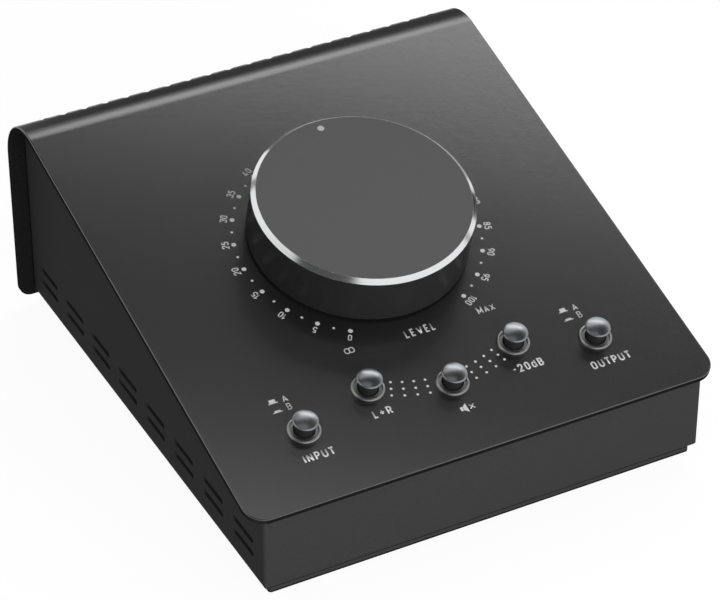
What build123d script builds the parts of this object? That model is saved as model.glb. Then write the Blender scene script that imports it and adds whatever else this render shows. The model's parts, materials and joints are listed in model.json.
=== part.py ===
from build123d import *
import os
from math import cos, floor, radians, sin, sqrt, tan

# Studio monitor controller, in millimetres. +Z is up and the front faces -Y. The origin lies on
# the table, under the middle of the bounding box. A bent steel cover slopes down to the front over
# a folded tray. A large level knob and five latching push buttons stand on the slope, and seven
# sockets line the rear flap.

# ---- driving dimensions: cover --------------------------------------------------------------
case_width = 130.0
cover_depth = 145.1  # panel's front edge to the rear flap's outside
panel_slope = 15.0  # degrees
front_edge_height = 25.2  # panel's front edge above the base plate's underside
cover_sheet = 1.8
rear_bend_radius = 14.0  # outside of the bend
panel_corner_radius = 5.5
flap_corner_radius = 3.5
rear_vent_width = 2.3
rear_vent_pitch = 6.0
rear_vent_margin = 8.0  # case side to the centre of the first vent, at least
rear_vent_start = 21.5  # degrees round the bend from its highest line
rear_vent_drop = 9.0  # vents run this far down the flap from the bend

# ---- driving dimensions: chassis, base and feet ---------------------------------------------
chassis_sheet = 1.5
side_overhang = 3.85  # cover past the side walls
front_overhang = 1.8  # cover past the front wall
tray_bend_radius = 2.0  # outside of the bends along the floor and the rear tabs
tray_front_radius = 0.8  # the welded front corners
flange_width = 12.0
rear_tab_width = 8.0
seat_gap = 0.05  # between sheets that touch
side_vent_length = 11.1
side_vent_height = 1.6
side_vent_pitch = 16.8
side_vent_row_gap = 4.0
side_vent_rise = 9.0  # lower row above the base plate's underside
side_vent_margin = 11.4  # ends of the side wall to the centre of the first vent, at least
base_sheet = 1.5
base_side_inset = 1.7
base_front_inset = 1.0
foot_radius = 6.0
foot_height = 3.0
foot_chamfer = 0.75
foot_inset = 13.0  # base plate's edges to the foot's centre

# ---- driving dimensions: fasteners ----------------------------------------------------------
screw_radius = 1.5
screw_head_radius = 2.8
screw_head_height = 1.7
screw_recess = 1.0
head_round = 0.45  # rounding of a head's rim, as a share of its height
recess_length = 1.25  # cross recess, as shares of the head's radius
recess_width = 0.3
screw_clearance = 0.2
thread_gap = 0.03
small_screw_radius = 1.25
small_head_radius = 2.3
small_head_height = 1.4
base_screw_inset = 6.5  # tray's outside to the screw's centre
flap_screw_inset = 4.2  # tray's outside to the screw's centre
flap_screw_low = 8.0  # above the base plate's underside
flap_screw_high = 36.0
screw_bite = 4.0  # thread in a post
base_screw_end = 1.0  # base screw's end above the tray's floor flange
flap_screw_end = 1.5  # flap screw's end past the tray's tab
post_radius = 3.2
post_spread = 0.68  # share of half the tray's width at which the front posts stand

# ---- driving dimensions: knob ---------------------------------------------------------------
dial_setback = 73.1  # panel's front edge to the knob's axis, along the slope
knob_radius = 28.7
knob_height = 14.9  # knob's flat top above the panel
knob_gap = 0.6  # skirt above the panel
knob_wall = 2.2
knob_top_thickness = 2.4
knob_chamfer = 1.15
knob_hub_radius = 7.0
knob_rib_thickness = 1.2
knob_rib_count = 6
knob_rib_gap = 1.5  # ribs' lower edge above the hub's end
disc_thickness = 1.2
trim_land = 0.15  # trim ring's flat beside the disc
trim_seat_width = 0.7  # knob wall left outside the trim ring's seat
trim_seat_depth = 0.5  # trim ring's outer lip above its seat
trim_lip = 0.1  # trim ring's upright edge under its chamfer
pointer_radius = 1.0
pointer_from_edge = 2.6  # knob's flat edge to the pointer's centre
pointer_depth = 0.6

# ---- driving dimensions: potentiometer ------------------------------------------------------
shaft_radius = 3.0
shaft_play = 0.05
shaft_flat = 1.5  # depth of the D flat
shaft_flat_rise = 0.6  # D flat's start above the bushing
bushing_radius = 3.5
bushing_reach = 4.6  # above the panel
bushing_sink = 2.0  # into the front gang
hub_end_gap = 1.0  # knob's hub above the bushing
insert_radius = 4.5
insert_cover = 1.1  # knob's top wall left over the insert
shaft_end_gap = 0.4
shaft_chamfer = 0.4
insert_play = 0.01
gang_side = 17.0
gang_wall = 1.2
wiper_radius = 6.4
wiper_thickness = 1.6
gang_cavity_gap = 0.8
gang_chamfer = 1.0
washer_radius = 6.0
washer_thickness = 0.6
nut_flats = 10.0
nut_thickness = 2.2
nut_fit = 0.05

# ---- driving dimensions: push buttons -------------------------------------------------------
button_side_margin = 24.1  # case side to the outer buttons
button_setback = 21.1  # panel's front edge to the outer and middle buttons, along the slope
button_rise = 6.0  # second and fourth button above that row
button_travel = 2.5
cap_radius = 3.28
cap_height = 4.9  # cap's crown above the panel
cap_thickness = 1.4
cap_crown = 0.4
cap_edge = 0.75
stem_radius = 2.5
stem_depth = 2.9  # stem's end below the panel's top
collar_radius = 4.3
collar_height = 0.8
collar_round = 0.5
collar_rim = 0.7  # width of the raised rim
collar_face = 0.35  # sunk face inside the rim, above the panel
collar_lip = 0.35  # width of the small lip round the bore
collar_lip_height = 0.55
collar_bore = 2.75
collar_wall = 0.85
collar_tail = 0.6  # collar below the cover's sheet
switch_side = 8.5
switch_height = 8.0
switch_chamfer = 0.5
pin_radius = 1.6
pin_gap = 0.12
pin_reach = 2.6  # pin into the switch when the button is out
spring_wire = 0.2
spring_gap = 0.1
spring_turns = 5
spring_closed = 1.9  # room left for the spring when the button is in

# ---- driving dimensions: boards -------------------------------------------------------------
board_thickness = 1.6
board_drop = 13.2  # panel's underside to the control board
board_side_gap = 9.0  # tray's inside to the control board
board_front_gap = 11.1  # panel's front edge to the control board's front edge, along the slope
boards_gap = 11.1  # control board's rear edge to the connector board, level
board_post_radius = 2.75
board_post_inset = 4.0
board_post_front = 22.0  # front board posts behind the control board's front edge
jack_board_rise = 6.5
jack_board_depth = 31.0
jack_board_side_gap = 6.0
spacer_radius = 2.75
spacer_inset = 4.0  # board's front edge to the spacer's centre
spacer_gap = 1.0  # spacer to the tray's flange
spacer_bite = 2.8  # thread in each end of a spacer
header_width = 15.0
header_depth = 5.0
header_height = 6.0
ribbon_width = 12.0
ribbon_thickness = 0.9
ribbon_bend = 2.2
ribbon_rise = 8.5  # straight up from the connector board's header
ribbon_drop = 4.0  # loop's foot below that header's top
ribbon_loop = 5.5  # depth of the loop's foot

# ---- driving dimensions: rear sockets -------------------------------------------------------
jacks_per_side = 3
jack_first = 13.0  # case's middle to the first large jack
jack_side_gap = 0.65  # outermost jack to the tray's tab
jack_width = 13.0
jack_length = 22.0
jack_axis_rise = 8.0  # above the connector board
jack_headroom = 7.5
jack_nose_radius = 5.5
jack_reach = 3.2  # nose past the rear flap
jack_bore = 3.2
jack_bore_length = 24.0
jack_washer_radius = 6.5
jack_washer_thickness = 0.6
jack_nut_flats = 13.0
hexagon_turn = 30.0  # sets the large nuts' flats side by side
jack_nut_thickness = 2.0
mini_width = 8.0
mini_length = 13.0
mini_headroom = 4.0
mini_nose_radius = 3.0
mini_reach = 2.4
mini_bore = 1.8
mini_bore_length = 14.0
mini_nut_flats = 8.0
mini_nut_thickness = 1.5
nose_clearance = 0.1
socket_mouth = 0.5  # chamfer round each bore's mouth

# ---- worked-out places ----------------------------------------------------------------------
slope = radians(panel_slope)
base_bottom = foot_height
base_top = base_bottom + base_sheet
front_edge_y = -(cover_depth + jack_reach) / 2
front_edge_z = base_bottom + front_edge_height
flap_y = front_edge_y + cover_depth
flap_inside_y = flap_y - cover_sheet
bend_y = flap_y - rear_bend_radius
bend_z = front_edge_z + ((bend_y - front_edge_y) * sin(slope) - rear_bend_radius) / cos(slope)
dial_y = front_edge_y + dial_setback * cos(slope)
dial_z = front_edge_z + dial_setback * sin(slope)
tray_half = case_width / 2 - side_overhang
wall_y = front_edge_y + front_overhang
tab_y = flap_inside_y - seat_gap
tray_floor = base_top + chassis_sheet
board_top_n = -cover_sheet - board_drop
jack_board_top = base_top + jack_board_rise + board_thickness
jack_axis_z = jack_board_top + jack_axis_rise
jack_board_half = tray_half - chassis_sheet - jack_board_side_gap
jack_board_rear = tab_y - chassis_sheet - seat_gap
jack_board_front = jack_board_rear - jack_board_depth
board_rear_y = jack_board_front - boards_gap
board_front = board_front_gap - dial_setback
board_rear = (board_rear_y - dial_y + board_top_n * sin(slope)) / cos(slope)
high = 200.0  # taller than the case
overcut = 5.0  # how far a cutter runs past a sheet
rounding = 1e-6  # keeps a count whole
full_turn = 360.0

panel = Plane(origin=(0, dial_y, dial_z), x_dir=(1, 0, 0), z_dir=(0, -sin(slope), cos(slope)))
rear = Plane(origin=(0, flap_y, 0), x_dir=(-1, 0, 0), z_dir=(0, 1, 0))


def on_panel(shape, across=0.0, up=0.0, out=0.0):
    """Sets a shape on the panel, at a place counted from the knob's axis."""
    return panel.location * Pos(across, up, out) * shape


def on_rear(shape, x, z, out=0.0):
    """Sets a shape on the rear flap's outside."""
    return rear.location * Pos(-x, z, out) * shape


def upright(radius, low, top):
    """A cylinder along its own Z, from one height to another."""
    return Pos(0, 0, (low + top) / 2) * Cylinder(radius, top - low)


def tube(outer, inner, low, top):
    """A plain sleeve along its own Z."""
    return upright(outer, low, top) - upright(inner, low - 1, top + 1)


def slab(width, depth, low, top):
    """A box centred on its own Z axis, from one height to another."""
    return Pos(0, 0, (low + top) / 2) * Box(width, depth, top - low)


def hexagon(flats, low, top):
    """A hexagonal prism measured across its flats."""
    face = RegularPolygon(flats / 2, 6, major_radius=False)
    return Pos(0, 0, low) * extrude(face, amount=top - low)


def turned(points):
    """Spins a closed outline of (radius, height) points about Z."""
    face = make_face(Plane.XZ * Polyline(*points, close=True))
    return revolve(face, Axis.Z)


def screw(radius, head_radius, head_height, reach):
    """A pan-head screw, its head on z = 0 and its shank running down to -reach."""
    head = upright(head_radius, 0, head_height)
    head = fillet(head.edges().group_by(Axis.Z)[-1], head_height * head_round)
    length = head_radius * recess_length
    cross = slab(length, head_radius * recess_width, head_height - screw_recess, head_height + 1)
    cross += Rot(0, 0, 90) * cross
    return head + upright(radius, -reach, 0) - cross


def group(shapes):
    """Keeps like pieces together as separate solids."""
    return Compound([solid for shape in shapes for solid in shape.solids()])


# ---- cover ----------------------------------------------------------------------------------
def cover_line(inset):
    """The cover's outline in the YZ plane, inset below its outside: points from front to flap."""
    reach = rear_bend_radius - inset
    middle = radians(90 + panel_slope) / 2
    return [
        (front_edge_y + inset * sin(slope), front_edge_z - inset * cos(slope)),
        (bend_y - reach * sin(slope), bend_z + reach * cos(slope)),
        (bend_y + reach * cos(middle), bend_z + reach * sin(middle)),
        (bend_y + reach, bend_z),
        (bend_y + reach, base_bottom),
    ]


def sheet_edges(points):
    """Line, bend and line through the five points of cover_line."""
    front, start, middle, end, foot = points
    return [Line(front, start), ThreePointArc(start, middle, end), Line(end, foot)]


def vent_cutter():
    """One rear vent: cut square to the sheet where it starts on the bend, round at its foot."""
    turn = radians(rear_vent_start)
    far = rear_bend_radius + 2 * overcut
    low = bend_z - rear_vent_drop
    inside = flap_inside_y - overcut
    outside = flap_y + overcut
    outline = Polyline(
        (bend_y, bend_z),
        (bend_y + far * sin(turn), bend_z + far * cos(turn)),
        (outside, bend_z + far * cos(turn)),
        (outside, low),
        (inside, low),
        (inside, bend_z),
        close=True,
    )
    cut = extrude(Plane.YZ * make_face(outline), amount=rear_vent_width / 2, both=True)
    foot = Rot(90, 0, 0) * Cylinder(rear_vent_width / 2, outside - inside)
    return cut + Pos(0, (inside + outside) / 2, low) * foot


def button_places():
    """The five buttons, left to right, as (name, across, up) on the panel."""
    names = ["source", "mono", "mute", "dim", "output"]
    pitch = 2 * (case_width / 2 - button_side_margin) / (len(names) - 1)
    row = button_setback - dial_setback
    return [
        (name, (i - len(names) // 2) * pitch, row + (button_rise if i % 2 else 0))
        for i, name in enumerate(names)
    ]


def jack_places():
    """Large sockets, left to right, as (name, x)."""
    last = tray_half - rear_tab_width - jack_side_gap - jack_width / 2
    spacing = (last - jack_first) / (jacks_per_side - 1)
    right = [jack_first + i * spacing for i in range(jacks_per_side)]
    places = [-x for x in reversed(right)] + right
    return [(f"jack_{i + 1}", x) for i, x in enumerate(places)]


def flap_screw_places():
    """Flap screws as (x, z), two in each rear tab."""
    x = tray_half - flap_screw_inset
    return [(s * x, base_bottom + z) for s in (-1, 1) for z in (flap_screw_low, flap_screw_high)]


sleeve_radius = collar_bore + collar_wall


def make_top_cover():
    """Sloping panel, rear bend and flap, bent from one sheet."""
    outside = cover_line(0)
    inside = cover_line(cover_sheet)
    edges = sheet_edges(outside) + sheet_edges(inside)
    edges += [Line(outside[0], inside[0]), Line(outside[-1], inside[-1])]
    sheet = extrude(Plane.YZ * make_face(edges), amount=case_width / 2, both=True)
    across_panel = Axis((0, 0, 0), (0, -sin(slope), cos(slope)))
    sheet = fillet(sheet.edges().filter_by(across_panel), panel_corner_radius)
    sheet = fillet(sheet.edges().filter_by(Axis.Y), flap_corner_radius)
    vents = floor((case_width - 2 * rear_vent_margin) / rear_vent_pitch + rounding) + 1
    cutter = vent_cutter()
    cuts = [Pos((i - (vents - 1) / 2) * rear_vent_pitch, 0, 0) * cutter for i in range(vents)]
    hole = upright(bushing_radius + nut_fit, -2 * cover_sheet, cover_sheet)
    cuts.append(on_panel(hole))
    hole = upright(sleeve_radius, -2 * cover_sheet, cover_sheet)
    cuts += [on_panel(hole, across, up) for _, across, up in button_places()]
    hole = upright(jack_nose_radius + nose_clearance, -2 * cover_sheet, cover_sheet)
    cuts += [on_rear(hole, x, jack_axis_z) for _, x in jack_places()]
    hole = upright(mini_nose_radius + nose_clearance, -2 * cover_sheet, cover_sheet)
    cuts.append(on_rear(hole, 0, jack_axis_z))
    hole = upright(screw_radius + screw_clearance, -2 * cover_sheet, cover_sheet)
    cuts += [on_rear(hole, x, z) for x, z in flap_screw_places()]
    return sheet - cuts


# ---- chassis, base and feet -----------------------------------------------------------------
def under_cover():
    """Everything under the cover's inside, as one wide prism."""
    inside = cover_line(cover_sheet + seat_gap)
    front, foot = inside[0], inside[-1]
    slope_ahead = (front[0] - high * cos(slope), front[1] - high * sin(slope))
    edges = sheet_edges(inside)
    edges += [
        Line(slope_ahead, front),
        Line(foot, (foot[0], -high)),
        Line((foot[0], -high), (slope_ahead[0], -high)),
        Line((slope_ahead[0], -high), slope_ahead),
    ]
    return extrude(Plane.YZ * make_face(edges), amount=case_width, both=True)


def tray_block(inset):
    """The tray's outside as a block, inset by a sheet for its inside."""
    bend = tray_bend_radius - inset
    width = 2 * (tray_half - inset)
    depth = tab_y - wall_y - 2 * inset
    place = Pos(0, (wall_y + tab_y) / 2, base_top + inset + high / 2)
    block = place * Box(width, depth, high)
    block = fillet(block.edges().filter_by(Axis.Z).group_by(Axis.Y)[-1], bend)
    if tray_front_radius > inset:
        block = fillet(block.edges().filter_by(Axis.Z).group_by(Axis.Y)[0], tray_front_radius - inset)
    along = place * Box(width, 2 * depth, high)
    along = fillet(along.edges().filter_by(Axis.Y).group_by(Axis.Z)[0], bend)
    across = place * Pos(0, depth / 2, 0) * Box(2 * width, 2 * depth, high)
    front = across.edges().filter_by(Axis.X).group_by(Axis.Z)[0].group_by(Axis.Y)[0]
    across = fillet(front, bend)
    return block & along & across


def base_screw_places():
    """Screws up through the base into the tray's floor flanges, as (x, y)."""
    x = tray_half - base_screw_inset
    middle = (wall_y + tab_y) / 2
    rows = (wall_y + flange_width + base_screw_inset, middle, tab_y - base_screw_inset)
    return [(s * x, y) for y in rows for s in (-1, 1)]


def post_places():
    """Front posts under the panel, as (x, y)."""
    x = tray_half * post_spread
    y = wall_y + tray_bend_radius + post_radius + seat_gap
    return [(-x, y), (x, y)]


def make_chassis_tray():
    """Front and side walls folded up from a floor flange, with two rear tabs."""
    tray = tray_block(0) & under_cover()
    tray -= tray_block(chassis_sheet)
    inner = tray_half - flange_width
    floor_front = wall_y + flange_width
    behind = tab_y + overcut
    opening = Box(2 * inner, behind - floor_front, 2 * overcut)
    tray -= Pos(0, (floor_front + behind) / 2, base_top) * opening
    tab_gap = 2 * (tray_half - rear_tab_width)
    tray -= Pos(0, tab_y, base_top + high / 2 - 1) * Box(tab_gap, 3 * chassis_sheet, high)
    length = tab_y - wall_y
    count = floor((length - 2 * side_vent_margin) / side_vent_pitch + rounding) + 1
    slot_face = SlotOverall(side_vent_length, side_vent_height)
    slot = Rot(0, 0, 90) * Rot(90, 0, 0) * extrude(slot_face, amount=case_width, both=True)
    cuts = []
    for i in range(count):
        for row in range(2):
            y = wall_y + side_vent_margin + i * side_vent_pitch
            z = base_bottom + side_vent_rise + row * side_vent_row_gap
            cuts.append(Pos(0, y, z) * slot)
    drill = upright(screw_radius + thread_gap, base_top - 1, tray_floor + 1)
    cuts += [Pos(x, y, 0) * drill for x, y in base_screw_places()]
    drill = upright(screw_radius + screw_clearance, base_top - 1, tray_floor + 1)
    cuts += [Pos(x, y, 0) * drill for x, y in post_places()]
    tap = upright(screw_radius + thread_gap, -cover_sheet - 3 * chassis_sheet, -cover_sheet)
    cuts += [on_rear(tap, x, z) for x, z in flap_screw_places()]
    return tray - cuts


base_half = tray_half - base_side_inset
base_front = wall_y + base_front_inset
base_rear = flap_inside_y - seat_gap


def spacer_places():
    """Spacers under the connector board's front corners, beside the tray's flanges, as (x, y)."""
    x = tray_half - flange_width - spacer_radius - spacer_gap
    y = jack_board_front + spacer_inset
    return [(-x, y), (x, y)]


def make_base_plate():
    """Flat floor plate, a little inside the tray's bends."""
    depth = base_rear - base_front
    plate = Pos(0, (base_front + base_rear) / 2, 0) * slab(2 * base_half, depth, base_bottom, base_top)
    plate = fillet(plate.edges().filter_by(Axis.Z), tray_front_radius)
    drill = upright(screw_radius + screw_clearance, 0, high)
    plate -= [Pos(x, y, 0) * drill for x, y in base_screw_places() + post_places()]
    drill = upright(small_screw_radius + screw_clearance, 0, high)
    return plate - [Pos(x, y, 0) * drill for x, y in spacer_places()]


def make_feet():
    """Four rubber feet, glued under the base plate."""
    x = base_half - foot_inset
    foot = upright(foot_radius, 0, foot_height)
    foot = chamfer(foot.edges().group_by(Axis.Z)[0], foot_chamfer)
    rows = (base_front + foot_inset, base_rear - foot_inset)
    return group([Pos(s * x, y, 0) * foot for y in rows for s in (-1, 1)])


def make_cover_posts():
    """Two posts welded under the panel's front, with a tapped foot on the tray's flange."""
    posts = []
    for x, y in post_places():
        post = Pos(x, y, 0) * upright(post_radius, tray_floor + seat_gap, high)
        bore = Pos(x, y, 0) * upright(screw_radius + thread_gap, 0, tray_floor + 2 * screw_bite)
        posts.append((post & under_cover()) - bore)
    return group(posts)


def make_base_screws():
    """Screws up through the base plate, heads below it."""
    reach = base_sheet + chassis_sheet + base_screw_end
    short = Rot(180, 0, 0) * screw(screw_radius, screw_head_radius, screw_head_height, reach)
    long_reach = reach + screw_bite
    long = Rot(180, 0, 0) * screw(screw_radius, screw_head_radius, screw_head_height, long_reach)
    small_reach = base_sheet + spacer_bite
    small = screw(small_screw_radius, small_head_radius, small_head_height, small_reach)
    small = Rot(180, 0, 0) * small
    screws = [Pos(x, y, base_bottom) * short for x, y in base_screw_places()]
    screws += [Pos(x, y, base_bottom) * long for x, y in post_places()]
    screws += [Pos(x, y, base_bottom) * small for x, y in spacer_places()]
    return group(screws)


def make_flap_screws():
    """Screws through the rear flap into the tray's tabs."""
    reach = cover_sheet + chassis_sheet + flap_screw_end
    body = screw(screw_radius, screw_head_radius, screw_head_height, reach)
    return group([on_rear(body, x, z) for x, z in flap_screw_places()])


# ---- knob and potentiometer -----------------------------------------------------------------
hub_end = bushing_reach + hub_end_gap
knob_flat_radius = knob_radius - knob_chamfer
disc_radius = knob_flat_radius - trim_land
disc_floor = knob_height - disc_thickness
insert_end = disc_floor - insert_cover
shaft_end = insert_end - shaft_end_gap
trim_foot = knob_height - knob_chamfer - trim_lip
trim_floor = trim_foot - trim_seat_depth
knob_ceiling = disc_floor - knob_top_thickness
gang_depth = board_drop / 2


def d_section(radius, low, top):
    """A round shaft with a flat along one side."""
    block = slab(2 * radius, 3 * radius, low - 1, top + 1)
    block = Pos(2 * radius - shaft_flat, 0, 0) * block
    return upright(radius, low, top) - block


def make_knob_body():
    """Moulded knob: skirt, top wall, hub with ribs, and the seats of the ring and disc."""
    body = upright(knob_radius, knob_gap, trim_foot)
    body -= upright(knob_radius - knob_wall, 0, knob_ceiling)
    body += upright(knob_hub_radius, hub_end, knob_ceiling)
    rib_low = hub_end + knob_rib_gap
    rib_length = knob_radius - knob_wall / 2
    rib = Pos(rib_length / 2, 0, 0) * slab(rib_length, knob_rib_thickness, rib_low, knob_ceiling)
    for i in range(knob_rib_count):
        body += Rot(0, 0, (i + 0.5) * full_turn / knob_rib_count) * rib
    body -= upright(knob_radius - trim_seat_width, trim_floor, knob_height)
    body += upright(disc_radius, knob_ceiling, disc_floor)
    return body - upright(insert_radius, hub_end - 1, insert_end)


def make_trim_ring():
    """Bright ring with the knob's chamfer."""
    seat = knob_radius - trim_seat_width
    return turned([
        (disc_radius, trim_floor),
        (seat, trim_floor),
        (seat, trim_foot),
        (knob_radius, trim_foot),
        (knob_radius, trim_foot + trim_lip),
        (knob_flat_radius, knob_height),
        (disc_radius, knob_height),
    ])


def pointer_place():
    """The pointer's distance from the knob's axis."""
    return knob_flat_radius - pointer_from_edge


def make_top_disc():
    """Flat inlaid disc with a pocket for the pointer."""
    disc = upright(disc_radius, disc_floor, knob_height)
    pocket = upright(pointer_radius, knob_height - pointer_depth, knob_height + 1)
    return disc - Pos(0, pointer_place(), 0) * pocket


def make_pointer():
    """White dot let into the disc."""
    dot = upright(pointer_radius, knob_height - pointer_depth, knob_height)
    return Pos(0, pointer_place(), 0) * dot


def make_shaft_insert():
    """Brass sleeve with a D bore, moulded into the hub."""
    bore = d_section(shaft_radius + insert_play, hub_end - 1, insert_end + 1)
    return upright(insert_radius, hub_end, insert_end) - bore


def make_pot_shaft():
    """Shaft with its flat, from the rear gang up into the knob."""
    low = board_top_n + gang_wall + gang_cavity_gap / 2
    flat_low = bushing_reach + shaft_flat_rise
    shaft = upright(shaft_radius, low, flat_low) + d_section(shaft_radius, flat_low, shaft_end)
    return chamfer(shaft.edges().group_by(Axis.Z)[-1], shaft_chamfer)


def make_pot_bushing():
    """Threaded sleeve that the shaft turns in."""
    return tube(bushing_radius, shaft_radius + shaft_play, -cover_sheet - bushing_sink, bushing_reach)


def gang(top, hole):
    """One resistor housing, hollow for its wiper, hanging down from a height."""
    low = top - gang_depth
    body = slab(gang_side, gang_side, low, top)
    body = chamfer(body.edges().filter_by(Axis.Z), gang_chamfer)
    body -= upright(wiper_radius + gang_cavity_gap, low + gang_wall, top - bushing_sink)
    return body - upright(hole, top - bushing_sink - 1, top + 1)


def make_front_gang():
    """Front gang: the bushing's seat above, the shaft's way through below."""
    body = gang(-cover_sheet, bushing_radius)
    low = -cover_sheet - gang_depth
    return body - upright(shaft_radius + shaft_play, low - 1, low + gang_wall + 1)


def make_rear_gang():
    """Rear gang, closed at its foot, standing on the control board."""
    return gang(-cover_sheet - gang_depth, shaft_radius + shaft_play)


def make_wipers():
    """Two wiper discs pressed on the shaft."""
    cavity = gang_depth - gang_wall - bushing_sink
    discs = []
    for top in (-cover_sheet, -cover_sheet - gang_depth):
        middle = top - bushing_sink - cavity / 2
        low = middle - wiper_thickness / 2
        discs.append(tube(wiper_radius, shaft_radius, low, low + wiper_thickness))
    return group(discs)


def make_pot_washer():
    """Flat washer under the nut."""
    return tube(washer_radius, bushing_radius + nut_fit, 0, washer_thickness)


def make_pot_nut():
    """Hexagon nut on the bushing."""
    top = washer_thickness + nut_thickness
    return hexagon(nut_flats, washer_thickness, top) - upright(bushing_radius + nut_fit, 0, top + 1)


# ---- push buttons ---------------------------------------------------------------------------
cap_floor = cap_height - cap_thickness
switch_top = board_top_n + switch_height
pin_end = switch_top - pin_reach
switch_bore_floor = pin_end - button_travel - spring_closed


def make_cap():
    """Domed metal cap with a rounded edge."""
    rim = cap_height - cap_crown
    start = (cap_radius, rim - cap_edge)
    shoulder = (cap_radius - cap_edge, rim)
    bow = cap_edge * (1 - sin(radians(45)))
    dome = (shoulder[0] ** 2 + cap_crown**2) / (2 * cap_crown)
    halfway = cap_height - dome + sqrt(dome**2 - (shoulder[0] / 2) ** 2)
    outline = [
        Line((0, cap_floor), (cap_radius, cap_floor)),
        Line((cap_radius, cap_floor), start),
        ThreePointArc(start, (cap_radius - bow, rim - bow), shoulder),
        ThreePointArc(shoulder, (shoulder[0] / 2, halfway), (0, cap_height)),
        Line((0, cap_height), (0, cap_floor)),
    ]
    return revolve(Plane.XZ * make_face(outline), Axis.Z)


def make_stem():
    """Dark stem under the cap, with the pin that works the switch."""
    return upright(stem_radius, -stem_depth, cap_floor) + upright(pin_radius, pin_end, -stem_depth)


def make_collar():
    """Pressed-in collar: a rounded rim, a sunk face and a small lip round the bore."""
    tail = -cover_sheet - collar_tail
    rim = collar_radius - collar_rim
    lip = collar_bore + collar_lip
    shoulder = (collar_radius - collar_round, collar_height)
    start = (collar_radius, collar_height - collar_round)
    bow = collar_round * (1 - sin(radians(45)))
    corners = [shoulder, (rim, collar_height), (rim, collar_face), (lip, collar_face)]
    corners += [(lip, collar_lip_height), (collar_bore, collar_lip_height), (collar_bore, tail)]
    corners += [(sleeve_radius, tail), (sleeve_radius, 0), (collar_radius, 0), start]
    outline = [Line(a, b) for a, b in zip(corners, corners[1:])]
    outline.append(ThreePointArc(start, (collar_radius - bow, collar_height - bow), shoulder))
    return revolve(Plane.XZ * make_face(outline), Axis.Z)


def make_switch():
    """Latching switch housing with a blind way for the pin."""
    body = slab(switch_side, switch_side, board_top_n, switch_top)
    body = chamfer(body.edges().filter_by(Axis.Z), switch_chamfer)
    return body - upright(pin_radius + pin_gap, switch_bore_floor, switch_top + 1)


def make_spring():
    """Return spring between the pin and the switch's floor."""
    height = pin_end - switch_bore_floor - 2 * spring_gap - 2 * spring_wire
    radius = pin_radius - spring_wire - spring_gap
    path = Helix(pitch=height / spring_turns, height=height, radius=radius)
    ring = Plane(origin=path @ 0, z_dir=path % 0) * Circle(spring_wire)
    return Pos(0, 0, switch_bore_floor + spring_gap + spring_wire) * sweep(ring, path, is_frenet=True)


# ---- boards ---------------------------------------------------------------------------------
board_half = tray_half - chassis_sheet - board_side_gap


def board_post_places():
    """Posts between panel and control board, as (across, up)."""
    x = board_half - board_post_inset
    rows = (board_front + board_post_front, board_rear - board_post_inset)
    return [(s * x, up) for up in rows for s in (-1, 1)]


def make_control_board():
    """Board under the panel, carrying the potentiometer and the switches."""
    low = board_top_n - board_thickness
    board = slab(2 * board_half, board_rear - board_front, low, board_top_n)
    board = Pos(0, (board_rear + board_front) / 2, 0) * board
    drill = upright(small_screw_radius + screw_clearance, low - 1, board_top_n + 1)
    return on_panel(board - [Pos(x, up, 0) * drill for x, up in board_post_places()])


def make_board_posts():
    """Tapped posts welded under the panel."""
    post = upright(board_post_radius, board_top_n, -cover_sheet)
    post -= upright(small_screw_radius + thread_gap, board_top_n - 1, board_top_n + 2 * screw_bite)
    return group([on_panel(post, x, up) for x, up in board_post_places()])


def make_board_screws():
    """Screws that hold the control board to its posts and the connector board to its spacers."""
    reach = board_thickness + screw_bite
    body = Rot(180, 0, 0) * screw(small_screw_radius, small_head_radius, small_head_height, reach)
    low = board_top_n - board_thickness
    screws = [on_panel(body, x, up, low) for x, up in board_post_places()]
    reach = board_thickness + spacer_bite
    body = screw(small_screw_radius, small_head_radius, small_head_height, reach)
    return group(screws + [Pos(x, y, jack_board_top) * body for x, y in spacer_places()])


def make_jack_board():
    """Level board that carries the sockets."""
    low = jack_board_top - board_thickness
    board = slab(2 * jack_board_half, jack_board_depth, low, jack_board_top)
    board = Pos(0, (jack_board_front + jack_board_rear) / 2, 0) * board
    drill = upright(small_screw_radius + screw_clearance, low - 1, jack_board_top + 1)
    return board - [Pos(x, y, 0) * drill for x, y in spacer_places()]


def make_jack_spacers():
    """Tapped spacers between base plate and connector board."""
    low = jack_board_top - board_thickness
    spacer = tube(spacer_radius, small_screw_radius + thread_gap, base_top, low)
    return group([Pos(x, y, 0) * spacer for x, y in spacer_places()])


def control_header():
    """Header under the control board's rear edge, on the panel's own axes."""
    top = board_top_n - board_thickness
    box = slab(header_width, header_depth, top - header_height, top)
    return Pos(0, board_rear - header_depth, 0) * box


def make_headers():
    """The two ribbon headers."""
    lower = slab(header_width, header_depth, jack_board_top, jack_board_top + header_height)
    lower = Pos(0, jack_board_front + header_depth, 0) * lower
    return group([on_panel(control_header()), lower])


def make_ribbon():
    """Flat cable from the connector board's header up to the control board's."""
    start_y, start_z = jack_board_front + header_depth, jack_board_top + header_height
    top_n = board_top_n - board_thickness - header_height
    place = board_rear - header_depth
    end_y = dial_y + place * cos(slope) - top_n * sin(slope)
    end_z = dial_z + place * sin(slope) + top_n * cos(slope)
    rise = start_z + ribbon_rise
    low = start_z - ribbon_drop
    under = end_y + (end_z - low) * tan(slope)
    back = under + ribbon_loop
    route = [(start_y, start_z), (start_y, rise), (back, rise)]
    route += [(back, low), (under, low), (end_y, end_z)]
    path = FilletPolyline(*[(0, *point) for point in route], radius=ribbon_bend)
    section = Plane(origin=path @ 0, x_dir=(1, 0, 0), z_dir=path % 0)
    return sweep(section * Rectangle(ribbon_width, ribbon_thickness), path)


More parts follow.
